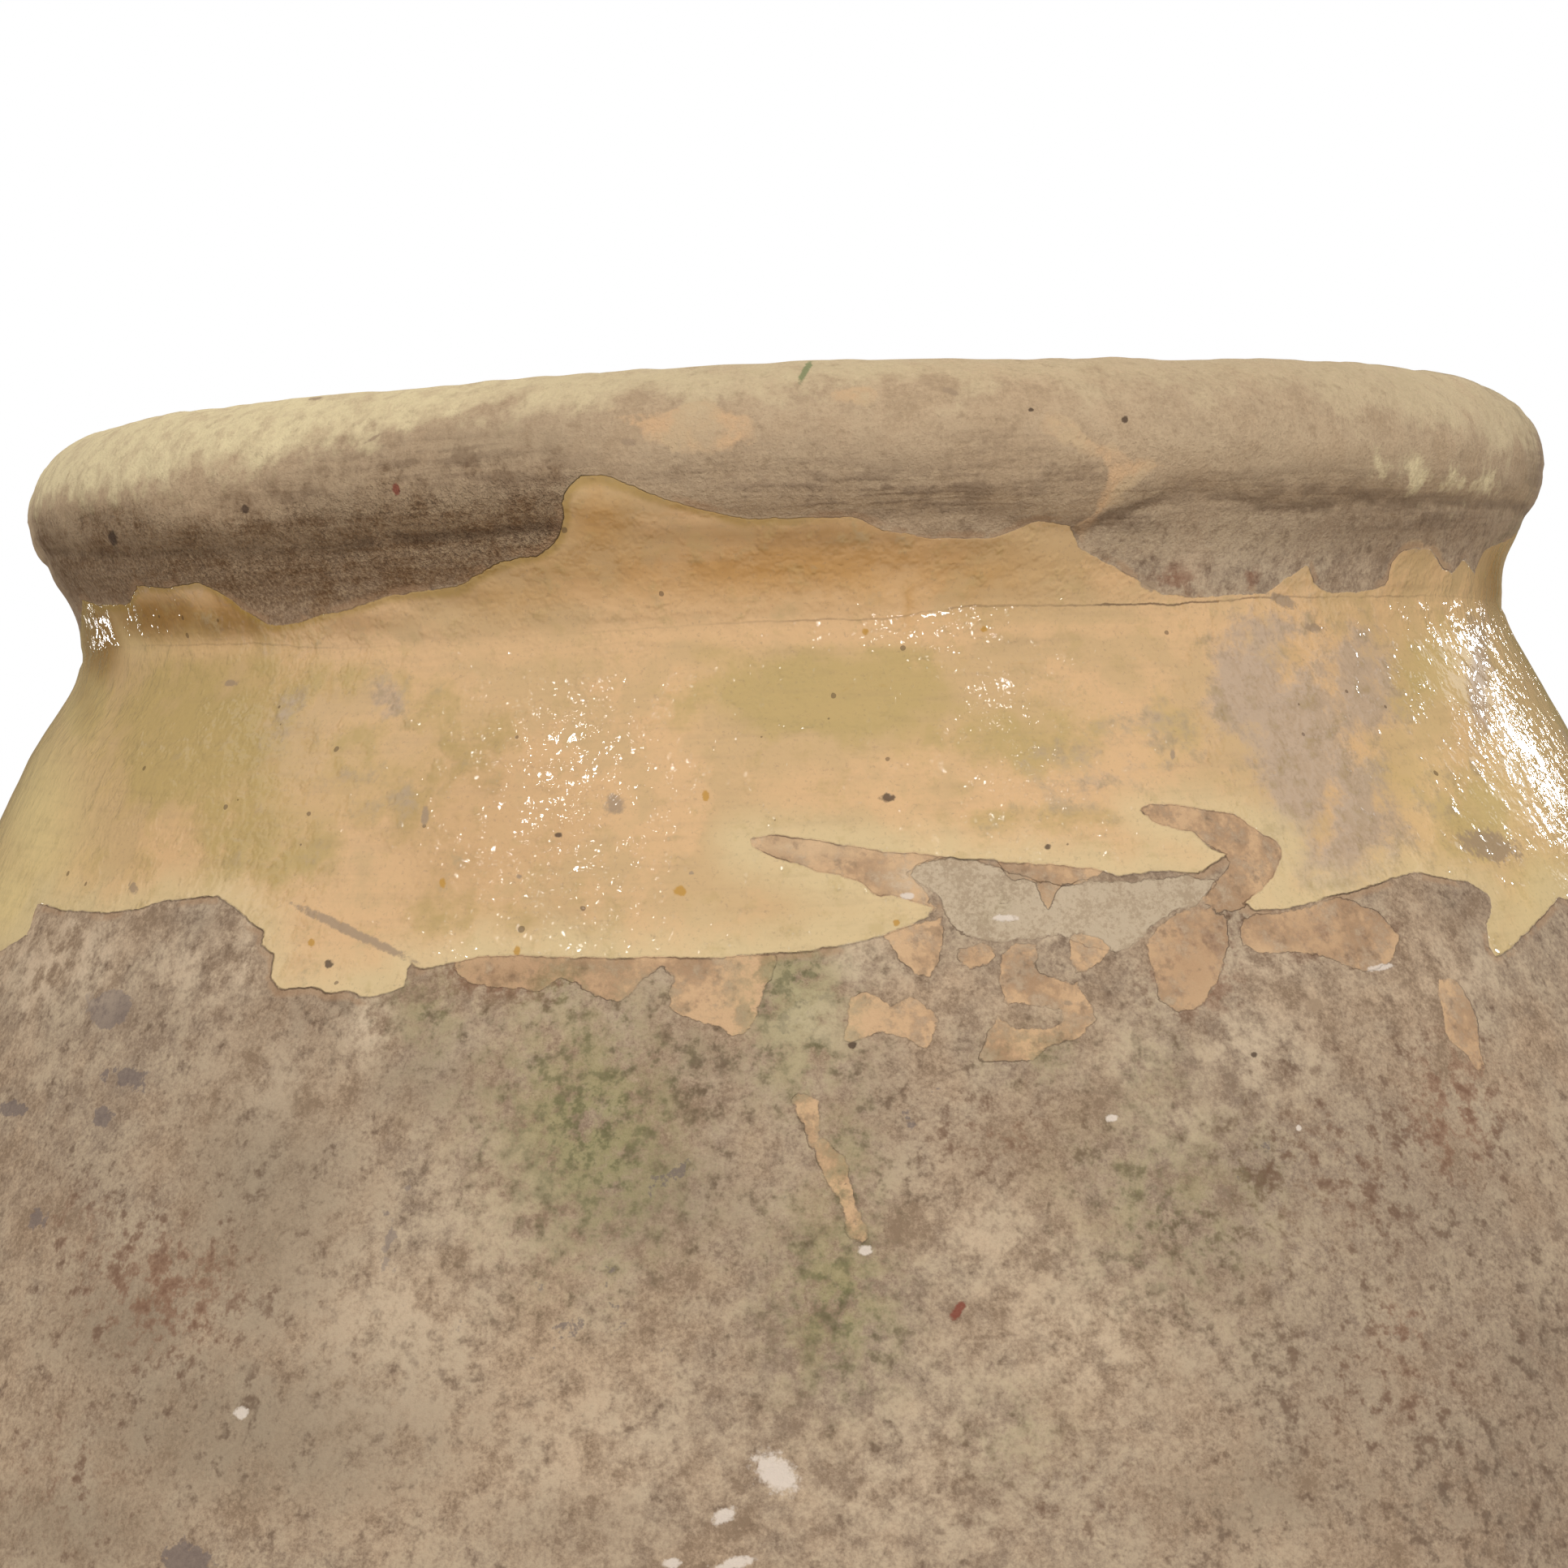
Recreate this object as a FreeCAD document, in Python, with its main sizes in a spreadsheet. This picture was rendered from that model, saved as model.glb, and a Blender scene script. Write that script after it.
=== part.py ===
import FreeCAD, Part
import math
import os
import Sketcher

# A large partly glazed storage jar, made as one piece of earthenware: flat foot,
# straight taper up to a round belly, sloping shoulder, short neck with a flared
# collar, and a thick lip rolled outwards over it.
# The origin is the middle of the foot's underside and +Z is up.
# Lengths are millimetres, and radii are measured from the jar's axis.

NODE = "jar"

SIZES = {
    "base_radius": 150.0,      # flat foot that the jar stands on
    "belly_radius": 318.0,     # widest part, and the round of the belly
    "belly_height": 532.0,     # height of the widest part
    "neck_radius": 198.0,      # narrowest part, outside
    "shoulder_reach": 46.472,  # from the belly's round out to where the slope meets the neck
    "neck_band": 14.0,         # upright part of the neck, below the collar
    "mouth_inset": 28.0,       # from the neck's outside in to the edge of the mouth
    "wall": 20.0,              # thickness of the wall
    "floor_thickness": 26.0,   # thickness of the floor
    "lip_radius": 23.0,        # round section of the rolled lip
    "lip_overhang": 12.0,      # how far the lip stands out past the neck
    "lip_rise": 39.0,          # from the neck's foot up to the middle of the lip's section
    "seam_drop": 12.0,         # from that middle down to where the lip was pressed on the collar
    "foot_bevel": 4.0,         # worn outer edge of the foot
    "floor_bevel": 14.0,       # thumbed corner round the floor, inside
}

# The belly's inside is pressed flat in this many bands, one above another
INNER_BANDS = 2

# A sketch numbers an edge's points from 1, and its own axes back from -1
START, END, CENTRE = range(1, 4)
LEVEL_AXIS, UPRIGHT_AXIS = range(-1, -3, -1)
ORIGIN = (LEVEL_AXIS, START)

# How near an edge lies to the place it is looked for
NEAR = 0.01


def make_sheet(doc):
    """Keep the driving sizes in a sheet, one named cell each."""
    sheet = doc.addObject("Spreadsheet::Sheet", "sizes")
    for row, (name, value) in enumerate(SIZES.items(), start=1):
        sheet.set("A%d" % row, name)
        sheet.set("B%d" % row, str(value))
        sheet.setAlias("B%d" % row, name)
    doc.recompute()


def formula(text):
    """Turn words that are size names into readings of their cells."""
    return " ".join("sizes." + word if word in SIZES else word for word in text.split())


def section_sketch(body, name):
    """Start a sketch in the plane of the axis: x is the radius and y the height."""
    sketch = body.newObject("Sketcher::SketchObject", name)
    plane = next(item for item in body.Origin.OriginFeatures if item.Role == "XZ_Plane")
    sketch.AttachmentSupport = [(plane, "")]
    sketch.MapMode = "FlatFace"
    return sketch


def place(radius, height):
    """A place in the section's plane."""
    return FreeCAD.Vector(radius, height, 0)


def around(centre, radius, angle):
    """The place on a circle at an angle in radians."""
    return centre + radius * place(math.cos(angle), math.sin(angle))


def touch_angle(centre, radius, outside, side):
    """The angle at which a line from an outside place touches a circle, seen from its centre."""
    reach = outside - centre
    return math.atan2(reach.y, reach.x) + side * math.acos(radius / reach.Length)


def add_line(sketch, start, end):
    """Draw a straight edge."""
    return sketch.addGeometry(Part.LineSegment(start, end), False)


def add_arc(sketch, centre, radius, start_angle, end_angle, construction=False):
    """Draw a round edge, counter-clockwise between two angles in radians."""
    circle = Part.Circle(centre, FreeCAD.Vector(0, 0, 1), radius)
    return sketch.addGeometry(Part.ArcOfCircle(circle, start_angle, end_angle), construction)


def constrain(sketch, kind, *where):
    """Add a constraint that has no size."""
    sketch.addConstraint(Sketcher.Constraint(kind, *where))


def drive(sketch, kind, name, text, *where):
    """Measure the drawing, then let a formula of the named sizes drive that measure."""
    if kind == "Radius":
        drawn = sketch.Geometry[where[0]].Radius
    else:
        gap = sketch.getPoint(*where[2:]) - sketch.getPoint(*where[:2])
        drawn = {"DistanceX": gap.x, "DistanceY": gap.y, "Distance": gap.Length}[kind]
    index = sketch.addConstraint(Sketcher.Constraint(kind, *where, drawn))
    sketch.renameConstraint(index, name)
    sketch.setExpression("Constraints." + name, formula(text))


def draw_wall_section(body):
    """Draw the wall's section: up the outside, over the lip and down to the floor inside.

    The places worked out here are where the constraints will put them, so that the
    section is drawn the right way round at once. Returns the sketch and the corners
    at the foot and the floor.
    """
    size = SIZES
    sketch = section_sketch(body, "wall_section")

    # Outside: the foot, the taper, the round belly and the shoulder's slope
    foot_corner = place(size["base_radius"], 0)
    belly_centre = place(0, size["belly_height"])
    belly_radius = size["belly_radius"]
    neck_distance = belly_radius + size["shoulder_reach"]
    neck_climb = math.sqrt(neck_distance**2 - size["neck_radius"]**2)
    neck_foot = belly_centre + place(size["neck_radius"], neck_climb)
    low_touch = touch_angle(belly_centre, belly_radius, foot_corner, 1)
    high_touch = touch_angle(belly_centre, belly_radius, neck_foot, -1)

    foot = add_line(sketch, place(0, 0), foot_corner)
    taper = add_line(sketch, foot_corner, around(belly_centre, belly_radius, low_touch))
    belly = add_arc(sketch, belly_centre, belly_radius, low_touch, high_touch)
    slope = add_line(sketch, around(belly_centre, belly_radius, high_touch), neck_foot)

    # The neck, the collar flared out under the lip, and the lip's round section
    lip_radius = size["lip_radius"]
    lip_centre = neck_foot + place(size["lip_overhang"] - lip_radius, size["lip_rise"])
    seam_angle = -math.asin(size["seam_drop"] / lip_radius)
    mouth_radius = size["neck_radius"] - size["mouth_inset"]
    mouth_angle = math.acos((mouth_radius - lip_centre.x) / lip_radius)
    neck_top = neck_foot + place(0, size["neck_band"])
    mouth_top = around(lip_centre, lip_radius, mouth_angle)

    neck = add_line(sketch, neck_foot, neck_top)
    collar = add_line(sketch, neck_top, around(lip_centre, lip_radius, seam_angle))
    lip = add_arc(sketch, lip_centre, lip_radius, seam_angle, mouth_angle)

    # Inside: the mouth, the slope, the belly's flat bands and the taper, set in by the wall
    inner_radius = belly_radius - size["wall"]
    inner_top = around(belly_centre, inner_radius, high_touch)
    throat_climb = (inner_top.x - mouth_top.x) / math.tan(high_touch)
    throat = place(mouth_top.x, inner_top.y + throat_climb)
    inner_foot = around(belly_centre, inner_radius, low_touch)
    floor_drop = inner_foot.y - size["floor_thickness"]
    floor_corner = inner_foot + place(floor_drop * math.tan(low_touch), -floor_drop)
    floor_middle = place(0, size["floor_thickness"])

    mouth = add_line(sketch, mouth_top, throat)
    inner_slope = add_line(sketch, throat, inner_top)
    bands = []
    band_turn = (low_touch - high_touch) / INNER_BANDS
    for number in range(INNER_BANDS):
        band_start = high_touch + number * band_turn
        band_places = [around(belly_centre, inner_radius, band_start + turned)
                       for turned in (0, band_turn)]
        bands.append(add_line(sketch, *band_places))
    inner_taper = add_line(sketch, inner_foot, floor_corner)
    floor = add_line(sketch, floor_corner, floor_middle)
    axis = add_line(sketch, floor_middle, place(0, 0))
    inner_round = add_arc(sketch, belly_centre, inner_radius, low_touch, high_touch, True)

    # Edges meet end to end
    outline = [foot, taper, belly, slope, neck, collar, lip, mouth,
               inner_slope, *bands, inner_taper, floor, axis]
    tangent_pairs = ((taper, belly), (belly, slope))
    for edge, next_edge in zip(outline, outline[1:] + outline[:1]):
        kind = "Tangent" if (edge, next_edge) in tangent_pairs else "Coincident"
        constrain(sketch, kind, edge, END, next_edge, START)
    constrain(sketch, "Coincident", foot, START, *ORIGIN)
    constrain(sketch, "Tangent", inner_slope, END, inner_round, END)
    constrain(sketch, "Tangent", inner_taper, START, inner_round, START)

    # The inside is parallel to the outside, and its bands are equal chords of one round
    constrain(sketch, "Coincident", inner_round, CENTRE, belly, CENTRE)
    constrain(sketch, "Parallel", slope, inner_slope)
    constrain(sketch, "Parallel", taper, inner_taper)
    for band, next_band in zip(bands, bands[1:]):
        constrain(sketch, "PointOnObject", band, END, inner_round)
        constrain(sketch, "Equal", band, next_band)

    # Level and upright edges, and the belly's middle on the axis
    for level_edge in (foot, floor):
        constrain(sketch, "Horizontal", level_edge)
    for upright_edge in (neck, mouth, axis):
        constrain(sketch, "Vertical", upright_edge)
    constrain(sketch, "PointOnObject", belly, CENTRE, UPRIGHT_AXIS)

    # Driving sizes
    drive(sketch, "DistanceX", "base_radius", "base_radius", *ORIGIN, foot, END)
    drive(sketch, "DistanceY", "belly_height", "belly_height", *ORIGIN, belly, CENTRE)
    drive(sketch, "Radius", "belly_radius", "belly_radius", belly)
    drive(sketch, "DistanceX", "neck_radius", "neck_radius", *ORIGIN, neck, START)
    drive(sketch, "Distance", "neck_distance", "belly_radius + shoulder_reach",
          belly, CENTRE, neck, START)
    drive(sketch, "DistanceY", "neck_band", "neck_band", neck, START, neck, END)
    drive(sketch, "Radius", "lip_radius", "lip_radius", lip)
    drive(sketch, "DistanceX", "lip_set_back", "lip_radius - lip_overhang", lip, CENTRE, neck, START)
    drive(sketch, "DistanceY", "lip_rise", "lip_rise", neck, START, lip, CENTRE)
    drive(sketch, "DistanceY", "seam_drop", "seam_drop", lip, START, lip, CENTRE)
    drive(sketch, "DistanceX", "mouth_inset", "mouth_inset", mouth, START, neck, START)
    drive(sketch, "Radius", "inner_radius", "belly_radius - wall", inner_round)
    drive(sketch, "DistanceY", "floor_thickness", "floor_thickness", *ORIGIN, axis, START)

    return sketch, sketch.getPoint(foot, END), sketch.getPoint(floor, START)


def turn_wall(body, section):
    """Turn the wall's section once round the axis."""
    wall = body.newObject("PartDesign::Revolution", "wall_turned")
    wall.Profile = section
    wall.ReferenceAxis = (section, ["V_Axis"])
    wall.Angle = 360.0
    body.Document.recompute()
    return wall


def ring_edge(shape, corner):
    """Name the round edge that a corner of the section makes."""
    for number, edge in enumerate(shape.Edges, start=1):
        curve = edge.Curve
        if not isinstance(curve, Part.Circle):
            continue
        if abs(curve.Radius - corner.x) < NEAR and abs(curve.Center.z - corner.y) < NEAR:
            return "Edge%d" % number
    raise RuntimeError("no round edge at radius %.2f, height %.2f" % (corner.x, corner.y))


def bevel(body, base, corner, size_name):
    """Bevel the ring that a corner of the section makes, by a named size."""
    feature = body.newObject("PartDesign::Chamfer", size_name)
    feature.Base = (base, [ring_edge(base.Shape, corner)])
    feature.Size = SIZES[size_name]
    feature.setExpression("Size", formula(size_name))
    body.Document.recompute()
    return feature


def make_jar(doc):
    """Turn the wall, then wear the foot's edge and thumb the corner round the floor."""
    body = doc.addObject("PartDesign::Body", "jar_body")
    body.Label = NODE
    section, foot_corner, floor_corner = draw_wall_section(body)
    doc.recompute()
    wall = turn_wall(body, section)
    worn = bevel(body, wall, foot_corner, "foot_bevel")
    bevel(body, worn, floor_corner, "floor_bevel")
    body.Placement = FreeCAD.Placement()
    doc.recompute()
    return body


def check(doc, body):
    """Stop if any feature failed or the jar isn't one sound solid."""
    for item in doc.Objects:
        if "Invalid" in item.State or "Error" in item.State:
            raise RuntimeError("%s failed: %s" % (item.Name, item.State))
    shape = body.Shape
    if shape.isNull() or not shape.isValid() or len(shape.Solids) != 1:
        raise RuntimeError("the jar isn't one sound solid")


def main():
    doc = FreeCAD.newDocument("jar_model")
    make_sheet(doc)
    body = make_jar(doc)
    check(doc, body)
    os.makedirs("parts", exist_ok=True)
    body.Shape.exportStep("parts/%s.step" % NODE)
    box = body.Shape.BoundBox
    litres = body.Shape.Volume / 1e6
    print("%s: %.1f x %.1f x %.1f mm, %.2f litres of clay"
          % (NODE, box.XLength, box.YLength, box.ZLength, litres))


main()
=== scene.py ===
import math

import bpy
import numpy as np
from mathutils import Matrix, Vector


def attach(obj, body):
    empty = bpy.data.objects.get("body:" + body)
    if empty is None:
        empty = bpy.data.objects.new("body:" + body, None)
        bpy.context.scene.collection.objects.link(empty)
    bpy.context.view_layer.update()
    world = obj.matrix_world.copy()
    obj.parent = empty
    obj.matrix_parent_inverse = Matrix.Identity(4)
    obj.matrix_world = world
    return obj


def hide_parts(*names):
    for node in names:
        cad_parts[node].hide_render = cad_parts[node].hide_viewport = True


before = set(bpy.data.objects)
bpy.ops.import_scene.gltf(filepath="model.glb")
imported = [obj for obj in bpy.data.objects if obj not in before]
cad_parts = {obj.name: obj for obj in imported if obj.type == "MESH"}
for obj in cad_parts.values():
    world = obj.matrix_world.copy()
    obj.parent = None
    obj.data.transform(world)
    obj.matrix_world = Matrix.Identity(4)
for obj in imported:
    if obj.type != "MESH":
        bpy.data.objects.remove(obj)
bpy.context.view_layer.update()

# The looks of a large partly glazed earthenware jar: one closed clay wall with its glaze,
# slip, flaked places and stains. Lengths are metres. A place on the wall is given by its
# turn, in radians round the axis from the front, and its path, the distance along the
# wall's section from the foot of the neck, upwards over the lip.

# Sizes of the wall's section, the same as the solid's
BASE_RADIUS = 0.150
BELLY_RADIUS = 0.318
BELLY_HEIGHT = 0.532
NECK_RADIUS = 0.198
SHOULDER_REACH = 0.046472
NECK_BAND = 0.014
MOUTH_INSET = 0.028
WALL = 0.020
FLOOR_THICKNESS = 0.026
LIP_RADIUS = 0.023
LIP_OVERHANG = 0.012
LIP_RISE = 0.039
SEAM_DROP = 0.012
FOOT_BEVEL = 0.004
FLOOR_BEVEL = 0.014
INNER_BANDS = 2

# Distances between the rings of the mesh: over what the photograph shows, and elsewhere
FINE_STEP = 0.0019
LIP_STEP = 0.0022
COARSE_STEP = 0.010
INNER_STEP = 0.016
UNDERSIDE_STEP = 0.04
FLOOR_STEP = 0.03
FINE_BOTTOM = 0.640
FRONT_HALF = math.radians(82)
FRONT_TURN = FINE_STEP / 0.210
BACK_TURN = math.radians(2.2)
OUTER_COLUMNS = 160
INNER_COLUMNS = 110

# How far the corners of neck and collar are eased, and over which paths
SOFT_REACH = 0.006
SOFT_LOW = -0.012
SOFT_HIGH = 0.042

# The photograph's frame and where its camera stood
FRAME_SIZE = 1932
FOCAL = 3300.0
SENSOR = 36.0
CAMERA_PLACE = np.array((0.0, -0.771, 0.844))
HORIZON_Y = 764.0
AXIS_X = 983.0
CAMERA_ROLL = math.radians(2.2)

# The tool's line round the neck, and the seam under the lip
LINE_DEPTHS = (0.0007, 0.0010)
LINE_HALF_WIDTHS = (0.0016, 0.0036)

# Waves left by the hands: how many, how often they go round, how long they are, and seed
SEED = 31
HAND_WAVES = (14, (1, 9), (0.09, 0.4), SEED)
PRESSED_WAVES = (20, (4, 34), (0.02, 0.07), SEED + 1)
GRAIN_WAVES = (26, (30, 110), (0.007, 0.02), SEED + 2)
HAND_DEPTH = 0.0006
PRESSED_DEPTH = 0.0002
GRAIN_DEPTH = 0.0001
LEAST_DEPTH = 0.0002

# The shoulder's swelling on the left: its height, and where it grows and ends as it goes down
SWELL_HEIGHT = 0.0028
SWELL_TOP = (-0.002, -0.030)
SWELL_BOTTOM = (-0.24, -0.15)
SWELL_SIDE = (0.2, 0.9)

# Where the hand-made outside begins, past the middle of the underside, and ends, past the
# top of the lip, and where the lip begins
OUTSIDE_START = (0.16, 0.20)
OUTSIDE_END = (0.02, 0.05)
LIP_START = (0.014, 0.030)
PAINTED_START = 0.17
PAINTED_END = 0.03

# Casting pixels on the wall: steps towards the jar for those that miss it, the most pixels
# that one correction moves a place, the path from the middle of the underside at which the
# wall can be hit, and the least rise of a stretch
DRAW_IN_TRIES = 60
DRAW_IN_STEP = 4
CORRECTIONS = 2
MOST_CORRECTION = 30
HIT_START = 0.2
LEAST_RISE = 1e-7


# The wall's section

def turned(centre, radius, angle):
    """The place on a circle at an angle in radians."""
    return np.array((centre[0] + radius * math.cos(angle), centre[1] + radius * math.sin(angle)))


def touch_angle(centre, radius, outside, side):
    """The angle at which a line from an outside place touches a circle, seen from its centre."""
    reach = outside - centre
    return math.atan2(reach[1], reach[0]) + side * math.acos(radius / np.linalg.norm(reach))


def way(start, end):
    """The direction from one place to another."""
    return (end - start) / np.linalg.norm(end - start)


def run(start, end, step):
    """Places along a straight stretch."""
    count = max(1, round(float(np.linalg.norm(end - start)) / step))
    part = np.linspace(0, 1, count + 1)[:, None]
    return start + (end - start) * part


def bow(centre, radius, start, end, step):
    """Places along a round stretch."""
    count = max(1, round(abs(end - start) * radius / step))
    return np.array([turned(centre, radius, angle) for angle in np.linspace(start, end, count + 1)])


def wall_stretches():
    """The section from the middle of the underside, up outside, over the lip and down inside.

    Each stretch is its places and the kind of ring that it is made of.
    """
    foot = np.array((BASE_RADIUS, 0.0))
    belly = np.array((0.0, BELLY_HEIGHT))
    climb = math.sqrt((BELLY_RADIUS + SHOULDER_REACH) ** 2 - NECK_RADIUS ** 2)
    neck = belly + (NECK_RADIUS, climb)
    neck_top = neck + (0, NECK_BAND)
    low = touch_angle(belly, BELLY_RADIUS, foot, 1)
    high = touch_angle(belly, BELLY_RADIUS, neck, -1)
    fine_start = math.asin((FINE_BOTTOM - BELLY_HEIGHT) / BELLY_RADIUS)
    taper_top = turned(belly, BELLY_RADIUS, low)
    foot_inner = foot - (FOOT_BEVEL, 0)
    foot_outer = foot + FOOT_BEVEL * way(foot, taper_top)

    lip = neck + (LIP_OVERHANG - LIP_RADIUS, LIP_RISE)
    seam = -math.asin(SEAM_DROP / LIP_RADIUS)
    mouth_radius = NECK_RADIUS - MOUTH_INSET
    mouth = math.acos((mouth_radius - lip[0]) / LIP_RADIUS)

    inner = BELLY_RADIUS - WALL
    inner_top = turned(belly, inner, high)
    inner_foot = turned(belly, inner, low)
    throat = np.array((mouth_radius, inner_top[1] + (inner_top[0] - mouth_radius) / math.tan(high)))
    drop = inner_foot[1] - FLOOR_THICKNESS
    corner = inner_foot + (drop * math.tan(low), -drop)
    corner_top = corner - FLOOR_BEVEL * way(inner_foot, corner)
    corner_foot = corner - (FLOOR_BEVEL, 0)
    bands = [turned(belly, inner, high + (low - high) * number / INNER_BANDS)
             for number in range(INNER_BANDS + 1)]

    stretches = [
        (run(np.zeros(2), foot_inner, UNDERSIDE_STEP), "inner"),
        (run(foot_inner, foot_outer, FOOT_BEVEL / 2), "outer"),
        (run(foot_outer, taper_top, COARSE_STEP), "outer"),
        (bow(belly, BELLY_RADIUS, low, fine_start, COARSE_STEP), "outer"),
        (bow(belly, BELLY_RADIUS, fine_start, high, FINE_STEP), "fine"),
        (run(turned(belly, BELLY_RADIUS, high), neck, FINE_STEP), "fine"),
        (run(neck, neck_top, FINE_STEP), "fine"),
        (run(neck_top, turned(lip, LIP_RADIUS, seam), FINE_STEP), "fine"),
        (bow(lip, LIP_RADIUS, seam, math.pi / 2, FINE_STEP), "fine"),
        (bow(lip, LIP_RADIUS, math.pi / 2, mouth, LIP_STEP), "fine"),
        (run(turned(lip, LIP_RADIUS, mouth), throat, LIP_STEP * 2), "fine"),
        (run(throat, inner_top, INNER_STEP), "inner"),
    ]
    for top, bottom in zip(bands, bands[1:]):
        stretches.append((run(top, bottom, INNER_STEP), "inner"))
    stretches += [
        (run(inner_foot, corner_top, INNER_STEP), "inner"),
        (run(corner_top, corner_foot, FLOOR_BEVEL / 2), "inner"),
        (run(corner_foot, np.array((0.0, FLOOR_THICKNESS)), FLOOR_STEP), "inner"),
    ]
    return stretches, neck


def wall_section():
    """The rings' places, paths, outward normals and kinds."""
    stretches, neck = wall_stretches()
    places = [stretches[0][0][0]]
    kinds = [stretches[0][1]]
    for points, kind in stretches:
        places += list(points[1:])
        kinds += [kind] * (len(points) - 1)
    places = np.array(places)
    gaps = np.linalg.norm(np.diff(places, axis=0), axis=1)
    path = np.concatenate(([0.0], np.cumsum(gaps)))
    path -= path[np.argmin(np.linalg.norm(places - neck, axis=1))]
    places = soften(places, path)
    along = np.gradient(places, path, axis=0)
    along /= np.linalg.norm(along, axis=1)[:, None]
    normals = np.stack((along[:, 1], -along[:, 0]), axis=1)
    return places, path, normals, np.array(kinds)


def soften(places, path):
    """Round the corners of the neck and collar as the potter's fingers left them."""
    soft = places.copy()
    for number in np.flatnonzero((path > SOFT_LOW) & (path < SOFT_HIGH)):
        weight = np.exp(-((path - path[number]) / SOFT_REACH) ** 2)
        soft[number] = (weight[:, None] * places).sum(axis=0) / weight.sum()
    return soft


PLACES, PATH, NORMALS, KINDS = wall_section()
LIP_TOP_PATH = PATH[np.argmax(PLACES[:, 1])]


# The wall as it was made by hand: low waves, a lip that isn't level, and a rough lip

def waves(turn, path, count, turns, lengths, seed):
    """A sum of smooth waves round and along the wall, between about -1 and 1."""
    draw = np.random.default_rng(seed)
    total = np.zeros(np.broadcast(turn, path).shape)
    for _ in range(count):
        around_count = draw.integers(turns[0], turns[1] + 1)
        length = draw.uniform(*lengths) * draw.choice((-1, 1))
        shift = draw.uniform(0, 2 * math.pi)
        total += np.sin(around_count * turn + 2 * math.pi * path / length + shift)
    return total / math.sqrt(2 * count)


def step_up(value, low, high):
    """0 at low, 1 at high and smooth between, held past both."""
    part = np.clip((value - low) / (high - low), 0, 1)
    return part * part * (3 - 2 * part)


def wall_point(turn, path, lines=()):
    """The place in space of a turn and path on the finished wall, with the lines cut in it."""
    radius, height = (np.interp(path, PATH, PLACES[:, axis]) for axis in range(2))
    out_radius, out_height = (np.interp(path, PATH, NORMALS[:, axis]) for axis in range(2))
    on_outside = step_up(path - PATH[0], *OUTSIDE_START)
    on_outside = on_outside * (1 - step_up(path - LIP_TOP_PATH, *OUTSIDE_END))
    on_lip = step_up(path, *LIP_START) * on_outside

    dent = HAND_DEPTH * (1 + 0.8 * waves(turn, path, *HAND_WAVES))
    dent = dent + on_lip * PRESSED_DEPTH * (1 + 1.6 * waves(turn, path, *PRESSED_WAVES))
    dent = dent + GRAIN_DEPTH * (1 + waves(turn, path, *GRAIN_WAVES) * (0.6 + 1.6 * on_lip))
    dent = np.clip(dent, LEAST_DEPTH, None) * on_outside
    swell = step_up(path, *SWELL_TOP) * step_up(path, *SWELL_BOTTOM)
    dent = dent - SWELL_HEIGHT * swell * step_up(-np.sin(turn), *SWELL_SIDE) * on_outside
    for line, depth, half_width in zip(lines, LINE_DEPTHS, LINE_HALF_WIDTHS):
        off_line = (path - line_path(turn, line)) / half_width
        dent = dent + depth * np.exp(-off_line ** 2) * on_outside

    radius = radius - dent * out_radius
    height = height - dent * out_height
    return np.stack((radius * np.sin(turn), -radius * np.cos(turn), height), axis=-1)


def line_path(turn, line, column=1):
    """The path of a line round the wall at each turn, or its strength with column 2."""
    return np.interp(turn, line[:, 0], line[:, column], period=2 * math.pi)


# Where the photograph's pixels fall on the wall

def camera_axes():
    """The camera's forward, right and up directions."""
    pitch = math.atan((FRAME_SIZE / 2 - HORIZON_Y) / FOCAL)
    yaw = math.atan((AXIS_X - FRAME_SIZE / 2) / FOCAL)
    forward = np.array((-math.sin(yaw) * math.cos(pitch), math.cos(yaw) * math.cos(pitch),
                        -math.sin(pitch)))
    level = np.cross(forward, (0, 0, 1))
    level /= np.linalg.norm(level)
    upright = np.cross(level, forward)
    right = math.cos(CAMERA_ROLL) * level - math.sin(CAMERA_ROLL) * upright
    up = math.sin(CAMERA_ROLL) * level + math.cos(CAMERA_ROLL) * upright
    return forward, right, up


FORWARD, RIGHT, UP = camera_axes()


def to_pixels(points):
    """The photograph's pixels of places in space."""
    reach = points - CAMERA_PLACE
    depth = reach @ FORWARD
    return np.stack((FRAME_SIZE / 2 + FOCAL * (reach @ RIGHT) / depth,
                     FRAME_SIZE / 2 - FOCAL * (reach @ UP) / depth), axis=-1)


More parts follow.
